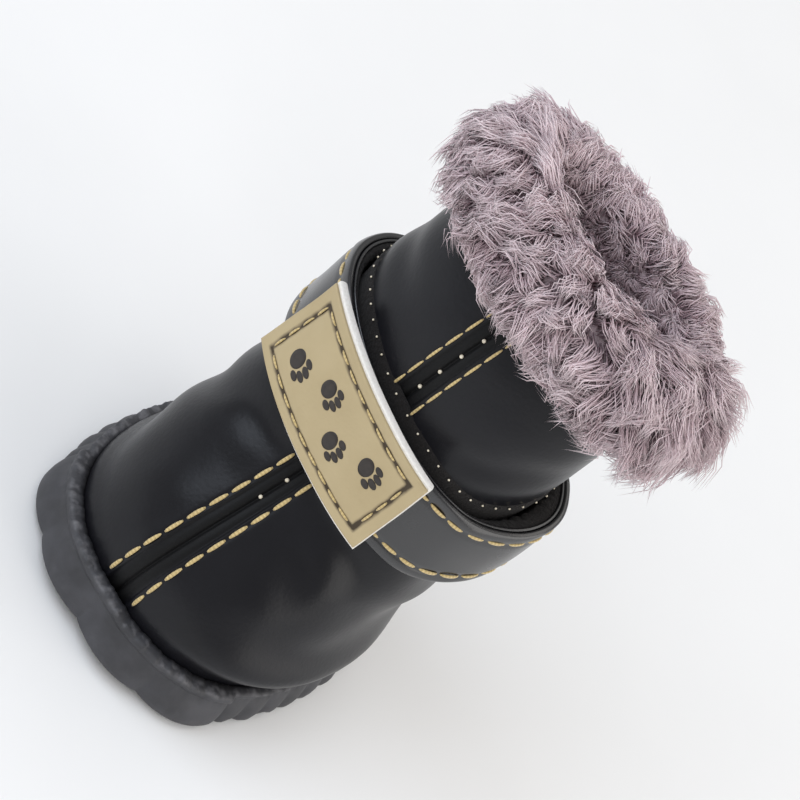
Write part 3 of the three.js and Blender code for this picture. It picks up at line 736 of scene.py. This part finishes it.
panel_turn = np.linspace(-np.pi, np.pi, PANEL_ROUND)[:, None]
panel_rise = np.linspace(PANEL_FROM - STRAP_HALF, STRAP_HALF + PANEL_ABOVE, PANEL_UP)[None, :]
panel_turn, panel_rise = np.broadcast_arrays(panel_turn, panel_rise)
lift = PANEL_THICK * (1 + PANEL_SWELL * smooth(panel_rise, STRAP_HALF + SWELL_FROM, STRAP_HALF + SWELL_TO))
edge_fade = smooth(STRAP_HALF + PANEL_ABOVE - panel_rise, 0, PANEL_EDGE)
panel_out = (lift + PANEL_TUCK) * edge_fade - PANEL_TUCK
panel_bend = leather_out(panel_turn, strap_height(panel_turn) + panel_rise, FAR)
panel = plate("loop_panel", panel_turn, panel_rise, panel_bend - PANEL_SUNK, panel_bend + panel_out,
              "hook_and_loop")

# Knitted nylon loop, black-brown: a dense matt fuzz of loops under a millimetre across
loop_pile = mottled("knitted_loop_pile", 0.667, {"Detail": 4.0, "Roughness": 0.7}, "#070707", "#1d1817",
                    {"Roughness": 0.9, "Sheen Weight": 0.04}, bump=(1.0, 0.6))
panel.data.materials.append(loop_pile)

PANEL_KNOT_PITCH, PANEL_KNOT_RISE, PANEL_KNOT_RADIUS = 2.7, 1.35, 0.17
PANEL_KNOT_OUT = 1.7 * PANEL_THICK
knot_turn = np.arange(-np.pi, np.pi, PANEL_KNOT_PITCH / GIRTH)
knot_level = strap_height(knot_turn) + STRAP_HALF + PANEL_KNOT_RISE
knot_out = leather_out(knot_turn, knot_level, FAR) + PANEL_KNOT_OUT
feet, above = upper_point(knot_turn, knot_level, knot_out), upper_point(knot_turn, knot_level, knot_out + 1)
panel_knots = knots("loop_panel_knots", feet, above, PANEL_KNOT_RADIUS)
# Painted highlight: the stitch ends take the pale glint colour
panel_knots.data.materials.append(pale_glint_thread)

# Strap
# A black leather band with turned, glossy edges and a row of gold thread along each, over a thin leather
# backing and hook tape. It goes once round the ankle, stands off at the sides and laps over its own end.

STRAP_STATIONS = 220
BACKING_THICK, HOOK_THICK = 0.55, 0.3
LINING_THICK = BACKING_THICK + HOOK_THICK
STRAP_EDGE, STRAP_CROWN = 0.75, 0.22
STRAP_PULL, STRAP_PULL_HALF, STRAP_STITCH_INSET = 0.2, 0.45, 2.0
STRAP_WAVES = [(0.12, 5, 0.4, 0), (0.07, 13, 0, 1)]  # height, waves round, slant, start
FACE_FADE = (0.1, 1.2)  # ways from the edge over which the face takes on its relief
BACKING_INSET, BACKING_EDGE, BACKING_PLAY = 0.12, 0.28, 0.01
TAPE_INSET, TAPE_EDGE, TAPE_PLAY = 0.5, 0.9, 0.02
HOOK_SWELL, TUFT_SHARE = 0.75, 0.16  # the tape's fuzz swells into the slack at the sides, in tufts
HOOK_WAVES = (90, 3, 2), (4, 2, 31)
STRAP_SAMPLES, STRAP_END_CLEAR, STRAP_STITCH_OUT, STRAP_SINK = 900, 0.1, -0.02, 0.1
strap_end = np.pi + STRAP_LAP
strap_stations = np.linspace(-strap_end, strap_end, STRAP_STATIONS)[:, None]


def strap_grid(half, edge, *counts):
    """Turn and rise over a band as long as the strap, and the distance from the band's nearest edge."""
    turn, rise = np.broadcast_arrays(strap_stations, edge_spaced(half, edge, *counts)[None, :])
    return turn, rise, np.minimum(half - np.abs(rise), (strap_end - np.abs(turn)) * GIRTH)


turn, rise, to_edge = strap_grid(STRAP_HALF, STRAP_EDGE, 32)
crown = STRAP_CROWN * (1 - (rise / STRAP_HALF) ** 2)
pulled = STRAP_PULL * bell(STRAP_HALF - np.abs(rise) - STRAP_STITCH_INSET, STRAP_PULL_HALF)
wander = sum(high * np.sin(rounds * turn + slant * rise + start)
             for high, rounds, slant, start in STRAP_WAVES)
leather_thick = STRAP_THICK - LINING_THICK
middle = strap_out(turn) + LINING_THICK + leather_thick / 2
half_thick = leather_thick / 2 * rounded(to_edge, STRAP_EDGE)
face_out = middle + half_thick + (crown - pulled + wander) * smooth(to_edge, *FACE_FADE)
strap = plate("strap_leather_band", turn, rise, middle - half_thick, face_out, "strap_leather")
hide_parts("strap")

turn, rise, to_edge = strap_grid(STRAP_HALF - BACKING_INSET, BACKING_EDGE, 8, 5)
middle = strap_out(turn) + HOOK_THICK + BACKING_THICK / 2
half_thick = (BACKING_THICK / 2 - BACKING_PLAY) * rounded(to_edge, BACKING_EDGE)
strap_backing = plate("strap_leather_backing", turn, rise, middle - half_thick, middle + half_thick,
                      "strap_leather")

# The same leather, finished harder: glossier than the upper, with polished edges, and painted a little
# greyer as painted light, for the light that the strap catches
polished = new_material("polished_strap_leather")
place = add(polished, "TexCoord").outputs["Object"]
grain = add(polished, "TexNoise", {"Vector": place, "Scale": pattern_scale(0.333), "Detail": 3.0})
cloud = add(polished, "TexNoise", {"Vector": place, "Scale": pattern_scale(8.33), "Detail": 4.0})
gloss = add(polished, "MapRange", {
    "Value": cloud, "From Min": 0.3, "From Max": 0.7, "To Min": 0.22, "To Max": 0.3})
# Painted light: a little greyer than the upper's leather
tone = add(polished, "Mix", {"Factor": cloud, "A": "#111113", "B": "#1a1a1d"}, data_type="RGBA")
fine = add(polished, "Bump", {"Height": grain, "Strength": 0.12, "Distance": 0.1 * MM})
skin = add(polished, "BsdfPrincipled", {
    "Base Color": tone, "Roughness": gloss, "IOR": 1.5, "Specular IOR Level": 0.95, "Normal": fine})
add(polished, "OutputMaterial", {"Surface": skin})
strap.data.materials.append(polished)
strap_backing.data.materials.append(polished)

turn, rise, to_edge = strap_grid(STRAP_HALF - TAPE_INSET, TAPE_EDGE, 14, 5)
swell = HOOK_SWELL * (strap_out(turn) - GAP - strap_lap(turn)) * np.sqrt(np.clip(to_edge / TAPE_EDGE, 0, 1))
tufts = TUFT_SHARE * tufted(turn, rise, HOOK_WAVES)
strap_tape = plate("strap_hook_tape", turn, rise, strap_out(turn) - swell * (1 + tufts),
                   strap_out(turn) + HOOK_THICK - TAPE_PLAY, "hook_and_loop")
strap_tape.data.materials.append(loop_pile)

strap_rows = []
for side in (-1, 1):
    turn = np.linspace(-strap_end + STRAP_END_CLEAR, strap_end - STRAP_END_CLEAR, STRAP_SAMPLES)
    level = strap_height(turn) + side * (STRAP_HALF - STRAP_STITCH_INSET)
    out = strap_out(turn) + STRAP_THICK + STRAP_STITCH_OUT
    line, above = upper_point(turn, level, out), upper_point(turn, level, out + 1)
    strap_rows.append(stitch_row(line, above, STITCH_PITCH, THICK_THREAD, STRAP_SINK))
strap_thread = sew("strap_thread", strap_rows)
strap_thread.data.materials.append(thread)

# Label
# A patch of matt gold leatherette on white foam, which shows at its cut edges. A sewn border runs round it,
# and a track of paw prints is printed along its middle. It is sewn to the front of the strap.

LABEL_LENGTH, LABEL_WIDTH, LABEL_THICK, LABEL_SHIFT, LABEL_LIFT = 30.0, 16.2, 1.8, -2.5, 0.9
SKIN_THICK, SKIN_INSET, SKIN_PLAY = 0.45, 0.35, 0.02
FOAM_EDGE, SKIN_EDGE = 0.15, 0.3
BORDER = 2.3  # way in from the label's edges to the border
BORDER_PRESS, PRESS_HALF, SHADE_LINE_HALF = 0.24, 0.32, 0.42  # the groove's depth and width, and the width of the painted shade line along it
FIELD_PUFF, PUFF_BETWEEN = 0.14, (0.2, 2.2)  # the fields swell between these ways from the border
BORDER_PITCH, BORDER_THREAD = 2.9, (0.75, 0.2, 0.14)
BORDER_SAMPLES, BORDER_OUT, BORDER_SINK = 200, -0.12, 0.08
LABEL_SAMPLES = 2001
label_line = np.linspace(-np.pi / 2, np.pi / 2, LABEL_SAMPLES)
over_strap = STRAP_THICK + GAP
line_steps = lengths_along(upper_point(label_line, STRAP_LEVEL, strap_out(0.0) + over_strap))


def label_turn(run):
    """Turn at a distance along the label from its middle."""
    return np.interp(line_steps[-1] / 2 + LABEL_SHIFT + run, line_steps, label_line)


def label_out(run):
    """The label's underside: clear of the strap, with both ends lifted a little."""
    return strap_out(label_turn(run)) + over_strap + LABEL_LIFT * (2 * run / LABEL_LENGTH) ** 2


def label_piece(name, length, width, low, high, edge, grid, relief=None, attributes=None):
    """A plate of the label between two depths, with rounded edges and a relief on its face."""
    run = edge_spaced(length / 2, edge, grid[0])[:, None]
    rise = edge_spaced(width / 2, edge, grid[1])[None, :]
    run, rise = np.broadcast_arrays(run, rise)
    to_edge = np.minimum(length / 2 - np.abs(run), width / 2 - np.abs(rise))
    middle, half = label_out(run) + (low + high) / 2, (high - low) / 2 * rounded(to_edge, edge)
    face = relief(run, rise) if relief else 0.0
    marks = attributes(run, rise) if attributes else None
    return plate(name, label_turn(run), rise, middle - half, middle + half + face, "label_leatherette", marks)


def border_distance(run, rise):
    """Distance from the border's rectangle, which lies a fixed way in from the label's edges."""
    return np.abs(np.maximum(np.abs(run) - LABEL_LENGTH / 2, np.abs(rise) - LABEL_WIDTH / 2) + BORDER)


def border_groove(run, rise):
    """The border pressed in by its thread, between slightly puffed fields."""
    distance = border_distance(run, rise)
    return FIELD_PUFF * smooth(distance, *PUFF_BETWEEN) - BORDER_PRESS * bell(distance, PRESS_HALF)


def border_painted_shade(run, rise):
    """Painted shade along the pressed border on the face: a bell across its line, and nothing underneath."""
    top = bell(border_distance(run, rise), SHADE_LINE_HALF)
    return {"groove_shade": np.concatenate([top.ravel(), np.zeros(top.size)])}


def label_point(run, rise, out):
    """A place on the label's face, or out from it."""
    turn = label_turn(run)
    return upper_point(turn, strap_height(turn) + rise, label_out(run) + LABEL_THICK + out)


foam = label_piece("label_foam", LABEL_LENGTH, LABEL_WIDTH, 0.0, LABEL_THICK - SKIN_THICK - SKIN_PLAY,
                   FOAM_EDGE, (40, 12))
face = label_piece("label_face", LABEL_LENGTH - 2 * SKIN_INSET, LABEL_WIDTH - 2 * SKIN_INSET,
                   LABEL_THICK - SKIN_THICK, LABEL_THICK, SKIN_EDGE, (110, 60), border_groove, border_painted_shade)
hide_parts("label")

# White polyurethane foam, cut: matt and finely porous
cut_foam = mottled("cut_white_foam", 0.417, {"Detail": 3.0}, "#dcd8d0", "#fbf9f5", {"Roughness": 0.8},
                   bump=(0.3, 0.2))
foam.data.materials.append(cut_foam)

# Gold leatherette, embossed: matt, with a fine pebble of about 0.5 mm, and painted shade where the border is
# pressed in
gold_skin = new_material("matt_gold_leatherette")
place = add(gold_skin, "TexCoord").outputs["Object"]
groove_shade = add(gold_skin, "Attribute", attribute_name="groove_shade").outputs["Fac"]
pebble = add(gold_skin, "TexVoronoi", {"Vector": place, "Scale": pattern_scale(0.526)}, feature="SMOOTH_F1")
cloud = add(gold_skin, "TexNoise", {"Vector": place, "Scale": pattern_scale(6.25), "Detail": 4.0})
broken = add(gold_skin, "TexNoise", {"Vector": place, "Scale": pattern_scale(2.0), "Detail": 2.0})
clouded = add(gold_skin, "Mix", {"Factor": cloud, "A": "#ab9974", "B": "#bdac88"}, data_type="RGBA")
# Painted shade: the pressed border is darkened, broken up along its line like the shadows of its stitches
pressed_shade = add(gold_skin, "Math", {0: groove_shade, 1: broken}, operation="MULTIPLY")
depth = add(gold_skin, "MapRange", {"Value": pressed_shade, "From Min": 0.08, "From Max": 0.4, "To Max": 0.95})
tone = add(gold_skin, "Mix", {"Factor": depth, "A": clouded, "B": "#33271a"}, data_type="RGBA")
embossed = add(gold_skin, "Bump", {"Height": pebble, "Strength": 0.2, "Distance": 0.15 * MM})
skin = add(gold_skin, "BsdfPrincipled", {
    "Base Color": tone, "Roughness": 0.55, "Metallic": 0.15, "Normal": embossed})
add(gold_skin, "OutputMaterial", {"Surface": skin})
face.data.materials.append(gold_skin)

border_rows = []
reach, climb = LABEL_LENGTH / 2 - BORDER, LABEL_WIDTH / 2 - BORDER
corners = np.array([(-reach, -climb), (reach, -climb), (reach, climb), (-reach, climb), (-reach, -climb)])
for begin, end in zip(corners[:-1], corners[1:]):
    run, rise = np.linspace(begin, end, BORDER_SAMPLES).T
    line, above = label_point(run, rise, BORDER_OUT), label_point(run, rise, 1)
    border_rows.append(stitch_row(line, above, BORDER_PITCH, BORDER_THREAD, BORDER_SINK))
label_thread = sew("label_thread", border_rows)
label_thread.data.materials.append(thread)

# Paw prints: five flat drops of ink each, as run, rise and the two half sizes
PAW = [(-0.55, 0.0, 1.15, 1.45), (0.95, -1.45, 0.72, 0.5), (1.55, -0.52, 0.8, 0.5), (1.55, 0.52, 0.8, 0.5),
       (0.95, 1.45, 0.72, 0.5)]
PRINTS = [(-8.6, -1.6), (-3.0, 1.6), (2.6, -1.6), (8.2, 1.6)]
DROP_SIDES = 24
DROP_RINGS = np.array([(1.0, -0.06), (0.97, 0.06), (0.6, 0.07), (0.15, 0.07)])  # share of its size, height
drops = np.array([(run + a, rise + b, c, d) for run, rise in PRINTS for a, b, c, d in PAW])
angle = around(DROP_SIDES)
reach, lift = DROP_RINGS[:, :1], DROP_RINGS[:, 1:]
run = drops[:, 0, None, None] + drops[:, 2, None, None] * reach * np.cos(angle)
rise = drops[:, 1, None, None] + drops[:, 3, None, None] * reach * np.sin(angle)
ink_points = label_point(run, rise, border_groove(run, rise) + lift)
paw_prints = tube_object("label_paw_prints", ink_points, "label_leatherette")

# Screen ink, brown-black: slightly raised, satin, thin at its grain
ink = mottled("dark_screen_ink", 0.714, {"Detail": 3.0}, "#1d1a1a", "#3a322c", {"Roughness": 0.45})
paw_prints.data.materials.append(ink)

# Collar
# Long plush pile on a knitted backing, folded over the top of the shaft and sewn down inside and out. Its
# wavy locks fall outwards, and are shorter inside the throat.

# The backing's outline from its outer lower edge over the top to its inner lower edge: height, out
BACKING = np.array([(76.6, 0.9), (77.4, 3.1), (79.6, 5.1), (82.6, 5.6), (85.4, 4.2), (86.9, 1.0),
                    (86.3, -1.8), (83.6, -3.1), (79.5, -3.7), (74.0, -3.5), (69.6, -2.9)])
# Back along the wall that it is folded over
BACKING_INSIDE = np.array([(69.4, -2.3), (80.3, -2.2), (80.5, -0.9), (80.3, 0.45), (76.4, 0.45)])
BACKING_COLUMNS, BACKING_ROWS, OUTLINE_SAMPLES = 120, 60, 400
BACKING_TUFTS, BACKING_WAVES = 0.35, ((23, 4, 0.5), (1, 0, 0))
ACROSS_STEP, TURN_STEP = 0.004, 0.01  # over which the backing's slopes are measured


def curve_through(points, count):
    """A smooth curve through points: cubics with slopes from the neighbours, at evenly spaced parameters."""
    t = np.linspace(0, len(points) - 1, count)
    i = np.clip(t.astype(int), 0, len(points) - 2)
    slopes = np.gradient(points, axis=0)
    s = (t - i)[:, None]
    return ((1 + 2 * s) * (1 - s) ** 2 * points[i] + s * (1 - s) ** 2 * slopes[i]
            + s * s * (3 - 2 * s) * points[i + 1] + s * s * (s - 1) * slopes[i + 1])


backing_turn = around(BACKING_COLUMNS)[None, :]
backing_row = np.arange(BACKING_ROWS)[:, None]
outline = np.concatenate([curve_through(BACKING, BACKING_ROWS), BACKING_INSIDE])
tufts = np.zeros((len(outline), BACKING_COLUMNS))
tufts[:BACKING_ROWS] = tufted(backing_turn, backing_row, BACKING_WAVES)
backing_grid = upper_point(backing_turn, outline[:, :1], outline[:, 1:] + BACKING_TUFTS * tufts)
backing = ring_object("collar_backing", backing_grid, True, "collar_fur")
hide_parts("collar")

# Knitted backing under the pile: the same plush seen between the locks, in shade
under_pile = mottled("plush_backing", 1.11, {"Detail": 4.0}, "#8d7d83", "#b4a3a8", {"Roughness": 0.95},
                     bump=(1.0, 1.0))
backing.data.materials.append(under_pile)

LOCKS_ROUND, LOCKS_ACROSS, HAIRS_PER_LOCK = 58, 16, 44
LOCK_RADIUS, LOCK_CROWD = 2.3, 1.3  # a power above one brings the locks closer towards the outer edge
HAIR_LENGTH, HAIR_RINGS, HAIR_SIDES = 6.9, 3, 3
HAIR_RADII = 0.085 * np.array([1.0, 1.1, 0.9])  # ring by ring; real plush is finer than would show
HAIR_STAND, HAIR_LIE, HAIR_LAID = *np.radians([68, -14]), 0.75  # it lies from this share of its length on
HAIR_CLOSE, CLOSE_POWER = 0.9, 1.3  # how far a hair's tip closes in on the middle of its lock
LONG_SIDE, SHORT_SIDE = np.radians([80, 128])  # where the pile is combed out longest, and where it is pressed
LONG_SPREAD, SHORT_SPREAD = np.sqrt(0.5), 0.36
FRINGE, THROAT, BEHIND = (0.05, 0.2), (0.52, 0.78), (-0.3, 0.8)  # shares across, and of the way to the back
# Headings and curls of the locks in radians: slow drift, spread, and the share that combing takes away
HEADING, CURL = (1.1, 0.3, 0.7), (0.9, 0.7, 0.5)
DRIFT_ACROSS = 5  # how many times faster they drift across the collar than round it
DRIFT_WAVES = [(1.0, 2, 2.2), (1.0, 5, -3.1), (0.8, 9, 4.5)]  # weight, waves round, radians across
SKEW = [0.31, 0.52, 0.79]  # a direction that no hair follows
SHORTER = (0.3, 0.3, -0.45, 0.55, 0.4)  # at the fringe, behind, combed out, inside the throat, pressed
# Shares by which locks are darker: painted shade inside the throat, and where combed out
THROAT_PAINTED_SHADE, DARKER_COMBED = 0.45, 0.2
# How locks differ from one another, and hairs within a lock: ranges of shares, and spreads in radians
LOCK_LENGTHS, LOCK_TONES, LOCK_SWAYS, LOCK_LAY = (0.8, 1.15), (0.6, 1), (0.45, 0.95), 0.14
HAIR_LENGTHS, HAIR_TONES, HAIR_TURN, HAIR_LIFT = (0.62, 1.15), (0.9, 1.06), 0.15, 0.12
FUR_PIECES = 4
rng = np.random.default_rng(7)


def drift(turn, across, seed):
    """A slow, repeatable wander over the collar from minus one to one: a few waves that close round it."""
    phases = np.random.default_rng(seed).uniform(0, 2 * np.pi, len(DRIFT_WAVES))
    waves = sum(weight * np.sin(rounds * turn + climb * across + phase)
                for (weight, rounds, climb), phase in zip(DRIFT_WAVES, phases))
    return waves / sum(weight for weight, _, _ in DRIFT_WAVES)


def backing_at(across):
    """Height and out of the backing's outline at a share of the way from its outer to its inner edge."""
    fine, share = curve_through(BACKING, OUTLINE_SAMPLES), np.linspace(0, 1, OUTLINE_SAMPLES)
    return [np.interp(across, share, values) for values in fine.T]


def collar_frame(turn, across):
    """Point on the backing, its normal, and the directions along the boot and down the pile."""
    root = upper_point(turn, *backing_at(across))
    ahead, behind = [upper_point(turn, *backing_at(across + step)) for step in (ACROSS_STEP, -ACROSS_STEP)]
    down = unit(behind - ahead)
    along = unit(upper_point(turn + TURN_STEP, *backing_at(across)) - root)
    return root, unit(np.cross(down, along)), along, down


def lock_angle(amount, spread, combed_out, seed):
    """An angle for each lock: the drift at its place and a spread of its own, less where combed."""
    wander = amount * drift(lock_turn, lock_across * DRIFT_ACROSS, seed)
    return (wander + rng.normal(0, spread, locks)) * (1 - combed_out * combed)


# Locks: one in each cell of a grid round and across the collar, moved about inside its cell
cell_round, cell_across = np.meshgrid(np.arange(LOCKS_ROUND), np.arange(LOCKS_ACROSS), indexing="ij")
lock_turn = 2 * np.pi * (cell_round + rng.uniform(-0.5, 0.5, cell_round.shape)) / LOCKS_ROUND
lock_across = ((cell_across + rng.uniform(0, 1, cell_round.shape)) / LOCKS_ACROSS) ** LOCK_CROWD
lock_turn, lock_across = lock_turn.ravel(), lock_across.ravel()
locks = len(lock_turn)
root, normal, along, down = collar_frame(lock_turn, lock_across)
combed = bell(wrapped(lock_turn - LONG_SIDE), LONG_SPREAD)
flattened = bell(wrapped(lock_turn - SHORT_SIDE), SHORT_SPREAD)
fringe = 1 - smooth(lock_across, *FRINGE)
behind = smooth(-np.cos(lock_turn), *BEHIND)
inside = smooth(lock_across, *THROAT)
heading = lock_angle(*HEADING, seed=12)
curl = lock_angle(*CURL, seed=13)
sway, sway_start = rng.uniform(*LOCK_SWAYS, locks), rng.uniform(0, 2 * np.pi, locks)
lay = rng.normal(0, LOCK_LAY, locks)
lock_length = HAIR_LENGTH
for shorter, where in zip(SHORTER, (fringe, behind, combed, inside, flattened)):
    lock_length = lock_length * (1 - shorter * where)
lock_length = lock_length * rng.uniform(*LOCK_LENGTHS, locks)
# Lock tones differ at random; inside the throat they are painted darker as its shade
lock_tone_and_shade = rng.uniform(*LOCK_TONES, locks) * (1 - THROAT_PAINTED_SHADE * inside) * (1 - DARKER_COMBED * combed)

# Hairs: each stands up from its place in the lock's patch, bends over to lie along the collar, and swings
# sideways with its lock, while it closes in on the lock's middle towards its tip
hairs = (locks, HAIRS_PER_LOCK)
share = np.linspace(0, 1, HAIR_RINGS + 1)
halfway = (share[1:] + share[:-1]) / 2
patch = LOCK_RADIUS * np.sqrt(rng.uniform(0, 1, hairs))
patch_angle = rng.uniform(0, 2 * np.pi, hairs)
start = (root[:, None] + along[:, None] * (patch * np.cos(patch_angle))[..., None]
         + down[:, None] * (patch * np.sin(patch_angle))[..., None])
length = lock_length[:, None] * rng.uniform(*HAIR_LENGTHS, hairs)
swing = curl[:, None] * halfway + sway[:, None] * np.sin(2 * np.pi * halfway + sway_start[:, None])
turned = (heading[:, None] + rng.normal(0, HAIR_TURN, hairs))[..., None] + swing[:, None, :]
stand = HAIR_STAND + (HAIR_LIE - HAIR_STAND) * smooth(halfway, 0, HAIR_LAID)
stand = stand + (lay[:, None] + rng.normal(0, HAIR_LIFT, hairs))[..., None]
turned, stand = turned[..., None], stand[..., None]
step = (np.cos(stand) * (np.cos(turned) * down[:, None, None, :] + np.sin(turned) * along[:, None, None, :])
        + np.sin(stand) * normal[:, None, None, :]) * (length / HAIR_RINGS)[..., None, None]
hair = np.concatenate([np.zeros((*hairs, 1, 3)), np.cumsum(step, axis=2)], 2)
close_in = HAIR_CLOSE * share[:, None] ** CLOSE_POWER
hair = start[:, :, None, :] + hair + (root[:, None] - start)[:, :, None, :] * close_in
hair = hair.reshape(-1, HAIR_RINGS + 1, 3)
axis = unit(np.gradient(hair, axis=1))[:, :HAIR_RINGS]
across = unit(np.cross(axis, SKEW))
upwards = np.cross(axis, across)
angle = around(HAIR_SIDES)[:, None]
ring = np.cos(angle) * across[:, :, None, :] + np.sin(angle) * upwards[:, :, None, :]
body = hair[:, :HAIR_RINGS, None, :] + ring * HAIR_RADII[None, :, None, None]
tip_share = np.r_[np.repeat(share[:HAIR_RINGS], HAIR_SIDES), 1.0]
hair_tone_and_shade = np.repeat(lock_tone_and_shade, HAIRS_PER_LOCK) * rng.uniform(*HAIR_TONES, len(hair))

# Polyester plush, mauve-grey: matt, with roots painted darker as the shade deep in the pile, paler dry tips,
# and locks that differ a little in tone, painted darker inside the throat as its shade
plush = new_material("long_pile_plush")
tip = add(plush, "Attribute", attribute_name="tip").outputs["Fac"]
tone_and_throat_shade = add(plush, "Attribute", attribute_name="tone_and_throat_shade").outputs["Fac"]
# Painted shade: hairs darker towards their roots, as deep in the pile
root_shade_ramp = add(plush, "MapRange", {"Value": tip, "From Max": 0.75}, interpolation_type="SMOOTHSTEP")
paler = add(plush, "Mix", {"Factor": tone_and_throat_shade, "A": "#a88d95", "B": "#f3dee2"}, data_type="RGBA")
tone = add(plush, "Mix", {"Factor": root_shade_ramp, "A": "#987e86", "B": paler}, data_type="RGBA")
strand = add(plush, "BsdfPrincipled", {
    "Base Color": tone, "Roughness": 0.7, "Specular IOR Level": 0.3, "Subsurface Weight": 0.3,
    "Subsurface Radius": (1.0, 0.85, 0.85), "Subsurface Scale": 0.6 * MM})
add(plush, "OutputMaterial", {"Surface": strand})

per_piece = int(np.ceil(len(hair) / FUR_PIECES))
for i in range(FUR_PIECES):
    chosen = slice(i * per_piece, (i + 1) * per_piece)
    tones_and_throat_shade = np.repeat(hair_tone_and_shade[chosen], len(tip_share))
    tones = {"tip": np.tile(tip_share, len(body[chosen])), "tone_and_throat_shade": tones_and_throat_shade}
    fur = tube_object(f"collar_fur_{i + 1}", body[chosen], "collar_fur", hair[chosen, -1], tones)
    fur.data.materials.append(plush)

# Studio
# A pale floor and an even pale surround, with a large cool light in front on the left, a fill in front that
# gloss doesn't mirror, a broad low light on the right and a high one behind. The camera looks down on the toe
# from the front, rolled as the boot lies in the picture.

FLOOR_HALF = 3.0  # metres
floor_mesh = bpy.data.meshes.new("studio_floor")
floor_corners = [(x * FLOOR_HALF, y * FLOOR_HALF, 0) for x, y in ((-1, -1), (1, -1), (1, 1), (-1, 1))]
floor_mesh.from_pydata(floor_corners, [], [(0, 1, 2, 3)])
floor = bpy.data.objects.new("studio_floor", floor_mesh)
bpy.context.scene.collection.objects.link(floor)

# Pale paper: matt, and even but for a faint cloud
paper = mottled("pale_paper", 25.0, {"Detail": 2.0}, "#ededed", "#f1f1f1", {"Roughness": 0.9})
floor_mesh.materials.append(paper)

surround = bpy.data.worlds.new("pale_surround")
surround.use_nodes = True
background = surround.node_tree.nodes["Background"]
background.inputs["Color"].default_value = (1.0, 1.0, 1.0, 1.0)
background.inputs["Strength"].default_value = 0.4
scene = bpy.context.scene
scene.world = surround
scene.view_settings.view_transform = "Standard"

AZIMUTH, ELEVATION, ROLL = 9.5, 39.8, np.radians(52.7)
DISTANCE, PIXELS_PER_MM, FRAME_PIXELS, SENSOR_WIDTH = 700.0, 7.2, 800, 36.0
TARGET = np.array([0.0, 0.0, 40.0])
FRAME_SHIFT = np.array([3.78, 5.06])  # where the picture's middle lies from the target, right and up
LIGHT_DISTANCE = 800.0
# Lights: name, azimuth from the toe, elevation, size, power, colour, and whether gloss mirrors it
LIGHTS = [("front_left_key", -55, 46, 700, 3.4, (0.8, 0.88, 1.0), True),
          ("front_fill", 5, 32, 900, 2.9, (1.0, 1.0, 1.0), False),
          ("right_side", 104, 14, 900, 4.2, (1.0, 0.97, 0.94), True),
          ("high_back", 172, 58, 700, 1.8, (1.0, 0.96, 0.91), True)]


def looking_from(azimuth, elevation):
    """Right, up and backward directions, held level, of what looks at the boot from two angles in degrees."""
    round_boot, lifted = np.radians([azimuth, elevation])
    right = np.array([np.cos(round_boot), np.sin(round_boot), 0.0])
    level_back = np.array([np.sin(round_boot), -np.cos(round_boot), 0.0])
    back = level_back * np.cos(lifted) + np.array([0.0, 0.0, np.sin(lifted)])
    return right, np.cross(back, right), back


def place_facing(item, position, right, top, back):
    """Set an object at a place in millimetres with its own X, Y and Z along three directions."""
    matrix = Matrix.Identity(4)
    for axis, direction in enumerate((right, top, back, position * MM)):
        for row in range(3):
            matrix[row][axis] = direction[row]
    item.matrix_world = matrix
    bpy.context.scene.collection.objects.link(item)


level_right, level_up, towards = looking_from(AZIMUTH, ELEVATION)
right = level_right * np.cos(ROLL) + level_up * np.sin(ROLL)
top = level_up * np.cos(ROLL) - level_right * np.sin(ROLL)
eye = TARGET + towards * DISTANCE + right * FRAME_SHIFT[0] + top * FRAME_SHIFT[1]
lens = bpy.data.cameras.new("photo_view")
lens.sensor_width = SENSOR_WIDTH
lens.lens = SENSOR_WIDTH * DISTANCE / (FRAME_PIXELS / PIXELS_PER_MM)
camera = bpy.data.objects.new("photo_view", lens)
place_facing(camera, eye, right, top, towards)
scene.camera = camera

for name, azimuth, elevation, size, power, tint, mirrored in LIGHTS:
    lamp = bpy.data.lights.new(name, "AREA")
    lamp.size = size * MM
    lamp.energy = power
    lamp.color = tint
    light = bpy.data.objects.new(name, lamp)
    light.visible_glossy = mirrored
    right, top, back = looking_from(azimuth, elevation)
    place_facing(light, TARGET + back * LIGHT_DISTANCE, right, top, back)

bpy.context.view_layer.update()
